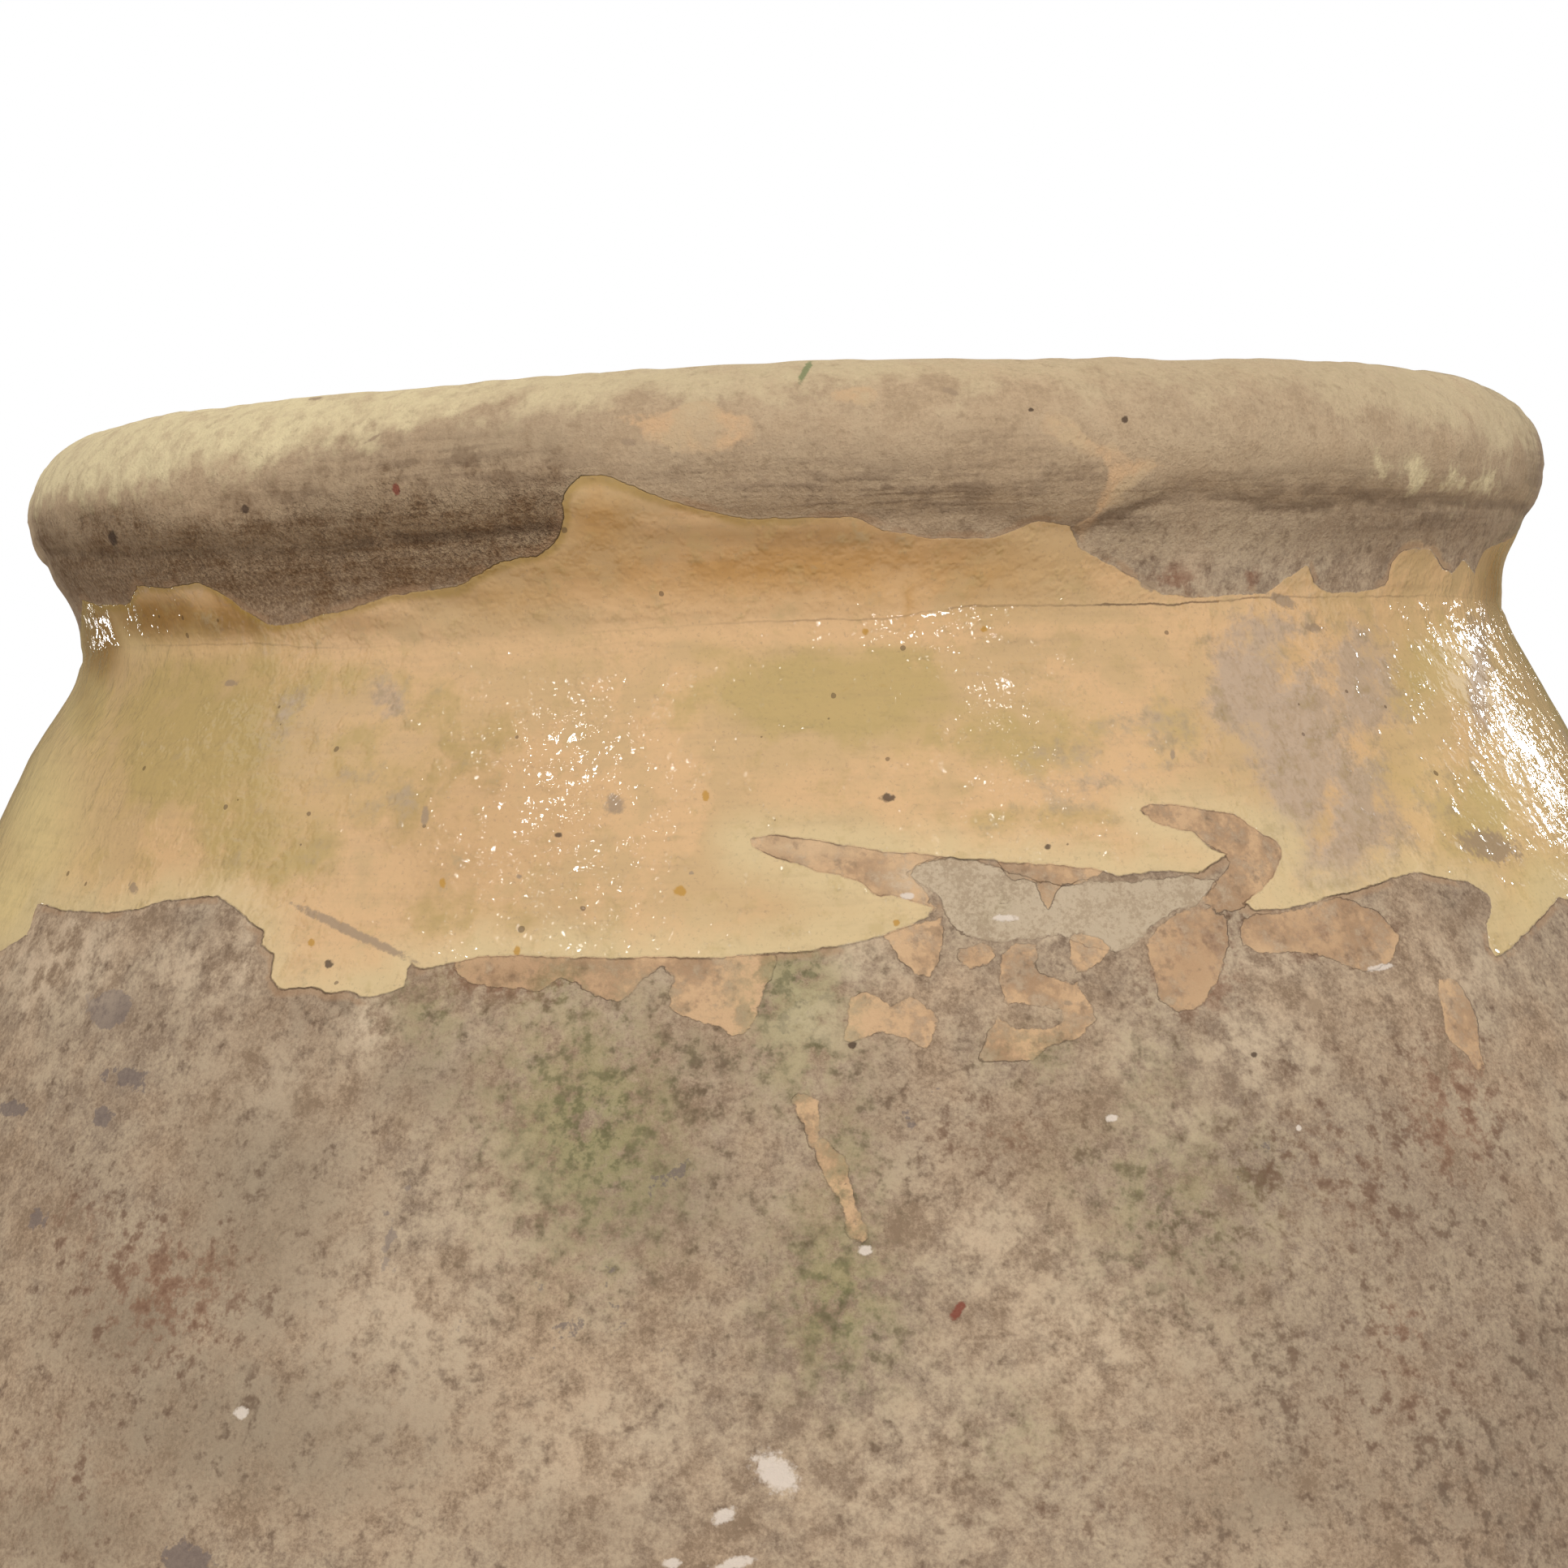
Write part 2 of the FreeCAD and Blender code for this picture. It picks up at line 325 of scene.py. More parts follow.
def first_hit(pixels):
    """Turn and path where pixels' rays meet the plain turned section; NaN where they miss."""
    offset = pixels - FRAME_SIZE / 2
    rays = FORWARD + offset[:, :1] / FOCAL * RIGHT - offset[:, 1:] / FOCAL * UP
    show = PATH > PATH[0] + HIT_START
    places, path = PLACES[show], PATH[show]
    low, high = places[:-1], places[1:]
    rise = high[:, 1] - low[:, 1]
    rise = np.where(np.abs(rise) < LEAST_RISE, LEAST_RISE, rise)
    slope = (high[:, 0] - low[:, 0]) / rise
    base = low[:, 0] + slope * (CAMERA_PLACE[2] - low[:, 1])
    x, y, z = (rays[:, axis, None] for axis in range(3))
    a = x * x + y * y - (slope * z) ** 2
    b = 2 * (x * CAMERA_PLACE[0] + y * CAMERA_PLACE[1] - base * slope * z)
    c = CAMERA_PLACE[0] ** 2 + CAMERA_PLACE[1] ** 2 - base ** 2
    inner = b * b - 4 * a * c
    root = np.sqrt(np.where(inner < 0, np.nan, inner))
    best = np.full(len(pixels), np.inf)
    turn = np.full(len(pixels), np.nan)
    hit_path = np.full(len(pixels), np.nan)
    rows = np.arange(len(pixels))
    for side in (-1, 1):
        reach = (-b + side * root) / (2 * a)
        height = CAMERA_PLACE[2] + reach * z
        part = (height - low[:, 1]) / rise
        reach = np.where((part >= 0) & (part <= 1) & (reach > 0), reach, np.inf)
        nearest = np.argmin(reach, axis=1)
        shortest = reach[rows, nearest]
        better = shortest < best
        where = CAMERA_PLACE + np.where(np.isfinite(shortest), shortest, 0)[:, None] * rays
        found = path[nearest] + part[rows, nearest] * (path[nearest + 1] - path[nearest])
        turn = np.where(better, np.arctan2(where[:, 0], -where[:, 1]), turn)
        hit_path = np.where(better, found, hit_path)
        best = np.where(better, shortest, best)
    return turn, hit_path


def on_wall(pixels):
    """Turn and path of the photograph's pixels, each drawn in to the jar where it lies outside."""
    target = np.array(pixels, float)
    for _ in range(DRAW_IN_TRIES):
        missed = np.isnan(first_hit(target)[0])
        if not missed.any():
            break
        target[missed, 0] += DRAW_IN_STEP * np.sign(AXIS_X - target[missed, 0])
    aim = target.copy()
    for _ in range(CORRECTIONS):
        turn, path = first_hit(aim)
        good = ~np.isnan(turn)
        error = to_pixels(wall_point(turn[good], path[good])) - target[good]
        small = np.linalg.norm(error, axis=1) < MOST_CORRECTION
        moved = aim.copy()
        moved[good] -= error * small[:, None]
        still = ~np.isnan(first_hit(moved)[0])
        aim[still] = moved[still]
    return np.stack(first_hit(aim), axis=1)


# Outlines read from the photograph, in its pixels

GLAZE_LOWER_EDGE = [
    (0, 1172), (36, 1150), (45, 1112), (80, 1121), (134, 1125), (170, 1119), (201, 1110),
    (268, 1103), (295, 1123), (328, 1150), (321, 1163), (339, 1177), (333, 1204), (344, 1221),
    (388, 1215), (402, 1224), (431, 1221), (446, 1230), (468, 1226), (482, 1221),
    (500, 1215), (504, 1186), (518, 1195), (558, 1186), (589, 1179), (638, 1177), (700, 1179),
    (850, 1180), (939, 1176), (1016, 1169), (1054, 1161), (1092, 1150), (1118, 1140),
    (1150, 1128), (1153, 1120), (1121, 1110), (1092, 1102), (1083, 1105), (1067, 1092),
    (1054, 1084), (1003, 1072), (955, 1057), (923, 1041), (921, 1032), (955, 1028),
    (1016, 1037), (1086, 1048), (1147, 1053), (1178, 1056), (1233, 1061), (1280, 1064),
    (1350, 1070), (1379, 1081), (1420, 1074), (1455, 1074), (1477, 1076), (1491, 1067),
    (1515, 1054), (1491, 1045), (1482, 1038), (1469, 1025), (1442, 1020), (1420, 1012),
    (1402, 996), (1411, 989), (1446, 991), (1482, 996), (1522, 1003), (1540, 1018),
    (1562, 1029), (1578, 1038), (1579, 1061), (1567, 1083), (1553, 1096), (1529, 1116),
    (1544, 1121), (1576, 1121), (1607, 1114), (1634, 1105), (1678, 1096), (1714, 1083),
    (1745, 1074), (1768, 1079), (1808, 1087), (1835, 1101), (1839, 1123), (1832, 1141),
    (1835, 1168), (1844, 1179), (1866, 1163), (1893, 1137), (1919, 1105),
]
GLAZE_UPPER_EDGE = [
    (102, 739), (122, 746), (159, 744), (169, 721), (204, 725), (245, 717), (278, 735),
    (302, 752), (326, 768), (351, 771), (392, 760), (441, 748), (478, 735), (522, 729),
    (571, 721), (584, 711), (604, 699), (640, 686), (661, 686), (685, 668), (694, 645),
    (691, 623), (698, 601), (716, 585), (743, 585), (779, 599), (823, 616), (868, 628),
    (912, 641), (957, 641), (1046, 639), (1091, 655), (1140, 662), (1225, 664), (1280, 645),
    (1321, 650), (1330, 677), (1366, 695), (1397, 712), (1415, 724), (1433, 733),
    (1482, 737), (1562, 730), (1580, 717), (1611, 695), (1620, 717), (1634, 730),
    (1678, 730), (1710, 721), (1714, 695), (1728, 677), (1763, 677), (1777, 699),
    (1790, 708), (1803, 688), (1817, 708), (1830, 677),
]
# The same two edges where the photograph doesn't show them: degrees round and millimetres
HIDDEN_LOWER_EDGE = [
    (66, -94), (73, -118), (80, -108), (90, -84), (101, -79), (108, -101), (113, -138),
    (117, -142), (122, -104), (135, -86), (149, -90), (156, -122), (161, -126), (168, -92),
    (181, -80), (196, -86), (204, -110), (210, -146), (214, -149), (219, -108), (231, -84),
    (245, -88), (253, -116), (259, -119), (267, -92), (280, -82), (291, -97),
]
HIDDEN_UPPER_EDGE = [
    (72, 22), (84, 30), (97, 36), (109, 27), (118, 14), (131, 9), (143, 20), (156, 33),
    (171, 39), (186, 35), (199, 24), (212, 12), (228, 10), (240, 22), (254, 30), (266, 21),
    (279, 13), (287, 9),
]

SLIP_PATCHES = [
    [(552, 1186), (566, 1204), (580, 1213), (634, 1219), (661, 1222), (675, 1215), (689, 1204),
     (707, 1210), (734, 1228), (758, 1237), (779, 1221), (792, 1204), (814, 1192), (832, 1204),
     (825, 1244), (850, 1257), (882, 1266), (907, 1281), (930, 1257), (936, 1242), (957, 1176),
     (700, 1170), (580, 1176)],
    [(1088, 1150), (1164, 1128), (1161, 1166), (1156, 1191), (1147, 1206), (1127, 1202),
     (1111, 1190), (1102, 1174)],
    [(905, 1028), (955, 1020), (1016, 1030), (1086, 1042), (1150, 1046), (1175, 1057),
     (1148, 1060), (1131, 1065), (1118, 1076), (1131, 1090), (1160, 1122), (1121, 1118),
     (1083, 1110), (1054, 1092), (1003, 1080), (955, 1064), (915, 1046)],
    [(1178, 1174), (1210, 1163), (1231, 1174), (1217, 1191), (1198, 1195), (1185, 1185)],
    [(1048, 1223), (1070, 1222), (1088, 1230), (1096, 1242), (1121, 1230), (1131, 1234),
     (1153, 1249), (1151, 1277), (1143, 1293), (1124, 1281), (1092, 1271), (1073, 1277),
     (1041, 1282)],
    [(1231, 1179), (1252, 1163), (1279, 1166), (1277, 1179), (1268, 1191), (1277, 1199),
     (1306, 1207), (1328, 1214), (1340, 1230), (1350, 1253), (1332, 1280), (1300, 1284),
     (1262, 1310), (1206, 1305), (1222, 1268), (1232, 1252), (1246, 1268), (1308, 1266),
     (1313, 1240), (1280, 1236), (1244, 1238), (1234, 1222)],
    [(1312, 1156), (1328, 1151), (1350, 1153), (1375, 1163), (1357, 1186), (1331, 1198),
     (1319, 1182)],
    [(1411, 1168), (1424, 1145), (1455, 1123), (1482, 1119), (1511, 1132), (1513, 1159),
     (1500, 1208), (1482, 1239), (1455, 1250), (1428, 1230), (1424, 1204)],
    [(1524, 1132), (1611, 1119), (1652, 1105), (1696, 1123), (1727, 1154), (1714, 1186),
     (1683, 1197), (1634, 1179), (1580, 1172), (1553, 1177), (1531, 1163)],
    [(1770, 1204), (1794, 1208), (1817, 1244), (1823, 1293), (1826, 1303), (1835, 1339),
     (1808, 1299), (1781, 1277)],
    [(977, 1348), (1011, 1352), (1008, 1397), (1040, 1428), (1055, 1473), (1069, 1527),
     (1055, 1536), (1046, 1518), (1033, 1477), (1013, 1446), (993, 1397), (979, 1366)],
    [(1395, 985), (1490, 988), (1560, 1018), (1590, 1040), (1588, 1070), (1560, 1105),
     (1515, 1125), (1480, 1110), (1500, 1085), (1520, 1060), (1478, 1034), (1420, 1018)],
    [(1226, 1056), (1245, 1081), (1265, 1080), (1277, 1089), (1290, 1134), (1303, 1091),
     (1320, 1092), (1335, 1084), (1350, 1078), (1379, 1085), (1340, 1060)],
]
GREY_PATCHES = [
    [(1118, 1076), (1131, 1065), (1148, 1060), (1175, 1057), (1201, 1061), (1226, 1065),
     (1245, 1081), (1265, 1082), (1300, 1092), (1335, 1086), (1380, 1086), (1455, 1080),
     (1500, 1085), (1480, 1110), (1440, 1125), (1400, 1160), (1375, 1175), (1300, 1150),
     (1240, 1160), (1180, 1150), (1166, 1128), (1161, 1112), (1148, 1096), (1131, 1086)],
]
LIP_CREAM = [
    [(1690, 568), (1716, 576), (1712, 592), (1694, 588)],
    [(1745, 578), (1776, 584), (1772, 600), (1750, 596)],
    [(1786, 582), (1842, 588), (1838, 604), (1796, 602)],
]
LIP_PEACH = [
    [(748, 505), (800, 500), (880, 498), (928, 510), (930, 545), (905, 558), (850, 556),
     (800, 545), (760, 530)],
    [(1316, 655), (1342, 632), (1356, 600), (1358, 572), (1330, 552), (1284, 530), (1290, 508),
     (1322, 520), (1345, 540), (1400, 560), (1440, 572), (1400, 590), (1378, 612), (1346, 655),
     (1330, 668)],
    [(1731, 669), (1763, 667), (1780, 701), (1771, 729), (1739, 729)],
    [(1020, 478), (1068, 474), (1096, 486), (1064, 498), (1024, 494)],
]
# Painted shade under the lip's overhang, on its left
LIP_SHADE = [
    [(400, 612), (480, 606), (560, 600), (640, 592), (715, 584), (712, 610), (704, 668),
     (610, 725), (440, 776), (330, 800), (240, 760), (100, 760), (40, 640), (150, 618),
     (260, 640), (330, 630)],
]

# Lines drawn round the wall: pixel and strength, then degrees, millimetres and strength.
# The last is where the cream slip on top of the lip begins.
TOOL_LINE_PIXELS = [
    (156, 795, 0.1), (222, 795, 0.2), (318, 793, 0.3), (424, 799, 0.1), (600, 787, 0.0),
    (930, 766, 0.2), (1020, 764, 0.5), (1091, 762, 0.3), (1194, 746, 0.5), (1290, 746, 0.3),
    (1370, 745, 1.0), (1449, 744, 1.0), (1545, 737, 0.7), (1640, 735, 0.2), (1732, 735, 0.4),
    (1768, 733, 0.1),
]
SEAM_LINE_PIXELS = [
    (58, 681, 0.5), (112, 686, 0.5), (408, 682, 0.4), (469, 668, 1.0), (551, 664, 1.0),
    (640, 656, 1.0), (692, 650, 0.8), (912, 641, 0.2), (1069, 637, 0.2), (1180, 623, 0.2),
    (1250, 640, 0.3), (1326, 659, 1.0), (1360, 641, 1.0), (1421, 620, 0.9), (1461, 604, 0.5),
    (1589, 628, 0.8), (1678, 614, 0.7), (1857, 623, 0.6),
]
CREAM_LINE_PIXELS = [
    (52, 618, 1.0), (98, 614, 1.0), (135, 606, 1.0), (180, 598, 1.0), (229, 586, 1.0),
    (330, 562, 1.0), (420, 542, 0.9), (520, 516, 0.9), (640, 502, 0.7), (760, 496, 0.6),
    (900, 488, 0.45), (1060, 480, 0.45), (1200, 478, 0.35), (1400, 474, 0.25),
    (1600, 478, 0.30), (1700, 500, 0.35), (1800, 524, 0.45), (1860, 560, 0.45),
]
HIDDEN_TOOL_LINE = [(90, 0.5, 0.3), (125, -0.7, 0.6), (160, 0.4, 0.1), (200, 0.8, 0.5),
                    (235, -0.4, 0.2), (270, 0.3, 0.5)]
HIDDEN_SEAM_LINE = [(92, 26.5, 0.6), (118, 28.2, 0.9), (150, 25.6, 0.4), (185, 27.4, 0.8),
                    (220, 25.9, 0.5), (255, 27.2, 0.9), (280, 26.4, 0.6)]
HIDDEN_CREAM_LINE = [(84, 62, 0.5), (110, 66, 0.8), (140, 60, 0.4), (170, 67, 0.7),
                     (200, 63, 0.4), (230, 58, 0.8), (255, 55, 0.9), (272, 50, 1.0)]

# Soft stains and tints, with painted shade and light among them as noted: pixel, half width, half height
# and strength
STAINS = {
    "moss": [
        (985, 1240, 60, 90, 1.0), (975, 1190, 30, 24, 0.8), (720, 1400, 110, 140, 0.85),
        (1030, 1600, 70, 110, 0.75), (1040, 1440, 40, 90, 0.5), (1440, 1480, 110, 120, 0.45),
        (520, 1235, 60, 60, 0.5),
        (690, 1215, 40, 30, 0.6), (1280, 1300, 60, 30, 0.4), (630, 1250, 60, 40, 0.35),
        (1250, 1770, 70, 60, 0.35), (1230, 1120, 20, 16, 0.8), (1420, 1330, 50, 60, 0.4),
    ],
    "dark": [
        (860, 1310, 70, 70, 0.6), (1080, 1350, 60, 80, 0.35), (1480, 1550, 80, 70, 0.5),
        (1890, 1670, 60, 90, 0.7), (400, 1240, 60, 40, 0.6), (1760, 1480, 120, 120, 0.45),
        (1840, 1840, 160, 120, 0.7), (1300, 1420, 130, 60, 0.3), (200, 1600, 90, 80, 0.35),
        (1230, 1120, 44, 34, 0.45), (1800, 1120, 40, 30, 0.5), (680, 1205, 26, 14, 0.5),
        (1270, 1190, 14, 14, 0.6), (90, 1480, 60, 60, 0.3), (1640, 1720, 140, 120, 0.5),
        # The dark spots under the lip, at pixel heights 560 to 740, are painted shade; the rest are dirt
        (1100, 606, 230, 30, 0.66), (1320, 590, 60, 24, 0.5), (1240, 560, 80, 30, 0.35),
        (1600, 606, 260, 26, 0.5),
        (1380, 640, 60, 14, 0.6), (1740, 640, 110, 26, 0.55), (1560, 1440, 40, 40, 0.6),
        (1530, 1600, 30, 20, 0.5), (1480, 1880, 60, 60, 0.5), (1960, 1700, 60, 120, 0.5),
        (1230, 1830, 30, 30, 0.4), (560, 575, 160, 36, 0.5), (380, 612, 80, 24, 0.4),
        (950, 585, 200, 36, 0.35),
        (330, 1700, 200, 120, 0.3), (160, 1250, 60, 20, 0.3), (350, 735, 130, 26, 0.3),
        (1230, 1290, 90, 10, 0.4), (400, 1115, 40, 14, 0.4), (250, 1130, 20, 30, 0.6),
    ],
    # Pale gold glaze at both sides, lightened as painted light where the wall turns away from the lamps
    "gold_and_light": [
        (40, 1000, 50, 130, 1.0), (90, 860, 30, 70, 0.7), (10, 1110, 50, 70, 1.0),
        (1900, 1100, 40, 60, 0.8), (1800, 820, 50, 60, 0.5), (1860, 980, 60, 100, 0.5),
        (1765, 960, 50, 130, 0.3), (150, 780, 60, 24, 0.4),
    ],
    # Most of these darken the glaze just under the lip, as painted shade; the rest are glaze lying deep
    "shade_and_deep_glaze": [
        (120, 790, 30, 50, 1.0), (190, 762, 60, 26, 0.9), (290, 765, 90, 24, 0.7),
        (440, 768, 90, 16, 0.5), (560, 735, 60, 14, 0.5), (960, 658, 260, 18, 0.6),
        (600, 1010, 190, 160, 0.33), (1842, 720, 24, 50, 0.7), (1180, 672, 80, 20, 0.4),
        (105, 850, 20, 60, 0.5),
    ],
    # Grey ash on the clay; its colour is darkened to paint the shade low on the left, where the big
    # clouds lie
    "ash_and_shade": [
        (330, 1480, 120, 200, 0.8), (150, 1640, 110, 90, 0.7), (330, 1760, 260, 110, 0.8),
        (520, 1330, 110, 70, 0.6), (800, 1480, 160, 90, 0.6), (90, 1880, 160, 70, 0.7),
        (1560, 1840, 160, 60, 0.6), (1420, 1700, 60, 60, 0.4), (700, 1880, 160, 60, 0.5),
        (620, 545, 110, 30, 0.8), (430, 600, 90, 30, 0.5), (1640, 580, 160, 30, 0.6),
        (1700, 1830, 90, 60, 0.3), (1230, 1420, 60, 40, 0.4),
    ],
    "rust": [
        (200, 1590, 100, 80, 0.6), (1790, 1370, 60, 90, 0.6), (1725, 1630, 40, 40, 0.5),
        (1470, 1190, 50, 60, 0.8), (1620, 1150, 90, 30, 0.55), (80, 1820, 90, 90, 0.3),
        (100, 1510, 50, 50, 0.4), (1240, 1400, 90, 50, 0.35), (630, 1200, 90, 30, 0.9),
        (1620, 1450, 160, 120, 0.35), (1450, 712, 24, 14, 0.9), (1542, 710, 8, 14, 0.9),
        (130, 655, 30, 18, 0.4), (1700, 1700, 120, 90, 0.3), (1300, 1820, 120, 90, 0.25),
    ],
    "lilac": [
        (135, 1242, 30, 24, 0.9), (156, 1329, 34, 18, 0.7), (128, 1377, 16, 16, 0.7),
        (19, 1364, 20, 12, 0.8), (48, 1498, 22, 18, 0.6), (235, 1925, 34, 24, 0.9),
        (505, 1460, 10, 50, 0.6), (481, 1533, 12, 40, 0.6), (1130, 1370, 50, 60, 0.35),
        (700, 1620, 200, 90, 0.3), (1545, 1430, 60, 40, 0.3), (860, 1450, 120, 60, 0.3),
    ],
    "pale": [
        (1500, 690, 120, 26, 0.2), (1284, 1122, 10, 10, 1.0), (1000, 1042, 80, 14, 0.9),
        (1120, 1080, 30, 24, 0.8), (95, 1140, 14, 10, 0.9), (80, 1170, 22, 12, 0.8),
        (50, 1200, 26, 14, 0.8), (30, 1250, 8, 30, 0.7), (285, 1120, 16, 6, 0.9),
        (308, 1135, 10, 8, 0.9),
        (250, 1190, 60, 40, 0.6), (60, 1190, 50, 40, 0.6), (480, 1640, 110, 120, 0.5),
        (1340, 1640, 130, 90, 0.5), (590, 1500, 90, 90, 0.4), (1120, 1800, 160, 90, 0.4),
        (1060, 1180, 40, 30, 0.7), (450, 1260, 26, 50, 0.8), (1320, 1130, 60, 30, 0.6),
        (1800, 1190, 60, 40, 0.4), (1450, 1380, 60, 40, 0.4), (1230, 1530, 90, 50, 0.4),
        (1000, 1258, 50, 46, 0.6), (458, 1262, 26, 34, 1.0), (110, 1190, 40, 50, 0.7),
        (302, 1190, 10, 34, 0.9), (250, 1120, 60, 8, 0.6), (50, 1215, 30, 20, 0.7),
        (1540, 1290, 70, 60, 0.5), (1560, 1190, 40, 20, 0.6), (1400, 1300, 50, 40, 0.4),
        (740, 1800, 130, 90, 0.35), (330, 1330, 60, 60, 0.35),
    ],
    "olive": [
        (1040, 860, 170, 60, 0.9), (1250, 900, 110, 50, 0.6), (860, 800, 60, 26, 0.5),
        (250, 900, 150, 110, 0.75), (480, 940, 140, 90, 0.45), (600, 1130, 120, 30, 0.4),
        (103, 820, 34, 90, 1.0), (205, 950, 70, 60, 0.7), (420, 850, 90, 50, 0.5),
        (640, 850, 60, 50, 0.35), (1750, 830, 50, 70, 0.6), (1720, 960, 50, 60, 0.5),
        (1450, 900, 50, 60, 0.4), (330, 1040, 110, 70, 0.5), (150, 1060, 70, 30, 0.4),
        (560, 900, 120, 60, 0.45), (1820, 1010, 50, 60, 0.6), (1300, 1010, 150, 20, 0.4),
    ],
    "veil": [
        (1400, 940, 160, 80, 0.25), (1700, 930, 60, 140, 0.4), (1640, 880, 110, 150, 0.4),
        (1545, 850, 50, 90, 0.9), (1600, 940, 56, 120, 0.85), (1680, 840, 40, 80, 0.75),
        (1680, 1000, 60, 70, 0.7), (1620, 1060, 50, 40, 0.6),
        (1822, 830, 14, 70, 0.9), (350, 900, 40, 50, 0.5), (1420, 900, 30, 40, 0.3),
        (473, 862, 26, 30, 0.6), (480, 960, 60, 40, 0.3), (1560, 780, 40, 30, 0.7),
    ],
    "peach": [
        (900, 778, 420, 18, 0.9), (1350, 775, 260, 14, 0.8), (620, 800, 240, 24, 0.9),
        (1000, 970, 160, 50, 0.7), (700, 960, 90, 90, 0.3), (250, 800, 90, 20, 0.6),
        (1300, 850, 90, 40, 0.5), (400, 980, 90, 50, 0.4), (900, 1010, 160, 50, 0.5),
        (1100, 560, 90, 30, 0.3),
    ],
    "amber": [
        (960, 700, 260, 34, 0.9), (1180, 710, 90, 34, 0.7), (740, 640, 36, 44, 0.8),
        (282, 736, 26, 18, 0.9), (640, 735, 70, 26, 0.5), (1120, 740, 8, 26, 0.9),
        (1842, 685, 14, 14, 0.7), (1340, 620, 16, 30, 0.4), (200, 752, 60, 14, 0.6),
    ],
}

# Small marks: pixel, half width, half height, tilt in degrees
MARKS = {
    "pit": [
        (1094, 983, 9, 5, 0), (139, 662, 5, 9, -20), (302, 627, 5, 5, 0), (405, 1187, 5, 5, 0),
        (1240, 1116, 9, 3, 0), (1291, 1043, 4, 4, 0), (688, 1029, 5, 3, 0), (1104, 1127, 3, 3, 0),
        (1050, 1288, 6, 6, 0), (1386, 517, 4, 4, 0), (1270, 505, 3, 2, 0), (1545, 1300, 4, 4, 0),
    ],
    "flake": [
        (1580, 740, 16, 6, 24), (1618, 773, 13, 5, 12), (757, 992, 12, 11, 0),
        (285, 842, 9, 4, 0), (524, 1005, 4, 10, 10), (1445, 930, 3, 7, 0), (775, 545, 10, 5, 10),
        (1170, 482, 9, 3, 20), (1415, 722, 12, 6, 20), (431, 1147, 72, 6, 25), (1836, 1042, 34, 17, 18),
        (640, 1080, 4, 3, 0), (852, 1076, 3, 3, 0), (1316, 1236, 5, 3, 0), (164, 1094, 5, 6, 0),
        (1620, 1238, 10, 8, 0), (460, 540, 12, 2, -30), (390, 491, 9, 2, -8),
    ],
    "white": [
        (958, 1816, 30, 19, 45), (892, 1867, 15, 8, -25), (905, 1926, 24, 7, -10),
        (828, 1926, 10, 6, 0),
        (1065, 1541, 8, 6, 0), (297, 1741, 8, 7, 0), (1370, 1378, 7, 5, 0),
        (1237, 1131, 14, 4, 0), (1119, 1104, 8, 4, 0), (1700, 1192, 14, 4, -10),
        (1600, 1390, 3, 3, 0),
    ],
    "ochre": [
        (869, 981, 4, 6, 0), (837, 1099, 7, 6, 0), (1066, 778, 4, 4, 0), (1213, 775, 4, 4, 0),
        (1105, 1137, 4, 4, 0), (384, 1161, 4, 5, 0), (545, 1088, 4, 6, 0), (637, 1171, 4, 5, 0),
    ],
    "red": [(1180, 1615, 12, 5, -55), (488, 603, 4, 6, 0), (1119, 1094, 6, 3, 0)],
    "green": [(992, 458, 4, 14, 30)],
}

# The wall's mesh

def add_mesh(name, points, faces):
    """Make a mesh and its object, and put it in the scene."""
    mesh = bpy.data.meshes.new(name)
    mesh.from_pydata(points, [], faces)
    made = bpy.data.objects.new(name, mesh)
    bpy.context.scene.collection.objects.link(made)
    return made


def ring_turns(kind):
    """The turns of a ring's columns, starting at the back."""
    if kind == "fine":
        front_count = round(2 * FRONT_HALF / FRONT_TURN)
        back_count = round((2 * math.pi - 2 * FRONT_HALF) / BACK_TURN)
        front = np.linspace(-FRONT_HALF, FRONT_HALF, front_count + 1)
        back = np.linspace(FRONT_HALF, 2 * math.pi - FRONT_HALF, back_count + 1)[1:-1]
        turns = np.concatenate((front, back))
        return np.sort(np.where(turns > math.pi, turns - 2 * math.pi, turns))
    count = OUTER_COLUMNS if kind == "outer" else INNER_COLUMNS
    return np.linspace(-math.pi, math.pi, count, endpoint=False)


def zip_rings(low_start, low_turns, high_start, high_turns):
    """Faces between two rings: squares where their columns match, else triangles."""
    low_count, high_count = len(low_turns), len(high_turns)
    if low_count == high_count:
        here = np.arange(low_count)
        there = (here + 1) % low_count
        return [tuple(face) for face in np.stack(
            (low_start + here, low_start + there, high_start + there, high_start + here), axis=1)]
    faces = []
    low, high = 0, 0
    while low < low_count or high < high_count:
        next_low = low_turns[low + 1] if low + 1 < low_count else low_turns[0] + 2 * math.pi
        next_high = high_turns[high + 1] if high + 1 < high_count else high_turns[0] + 2 * math.pi
        low_now, high_now = low_start + low % low_count, high_start + high % high_count
        if high >= high_count or (low < low_count and next_low <= next_high):
            faces.append((low_now, low_start + (low + 1) % low_count, high_now))
            low += 1
        else:
            faces.append((low_now, high_start + (high + 1) % high_count, high_now))
            high += 1
    return faces


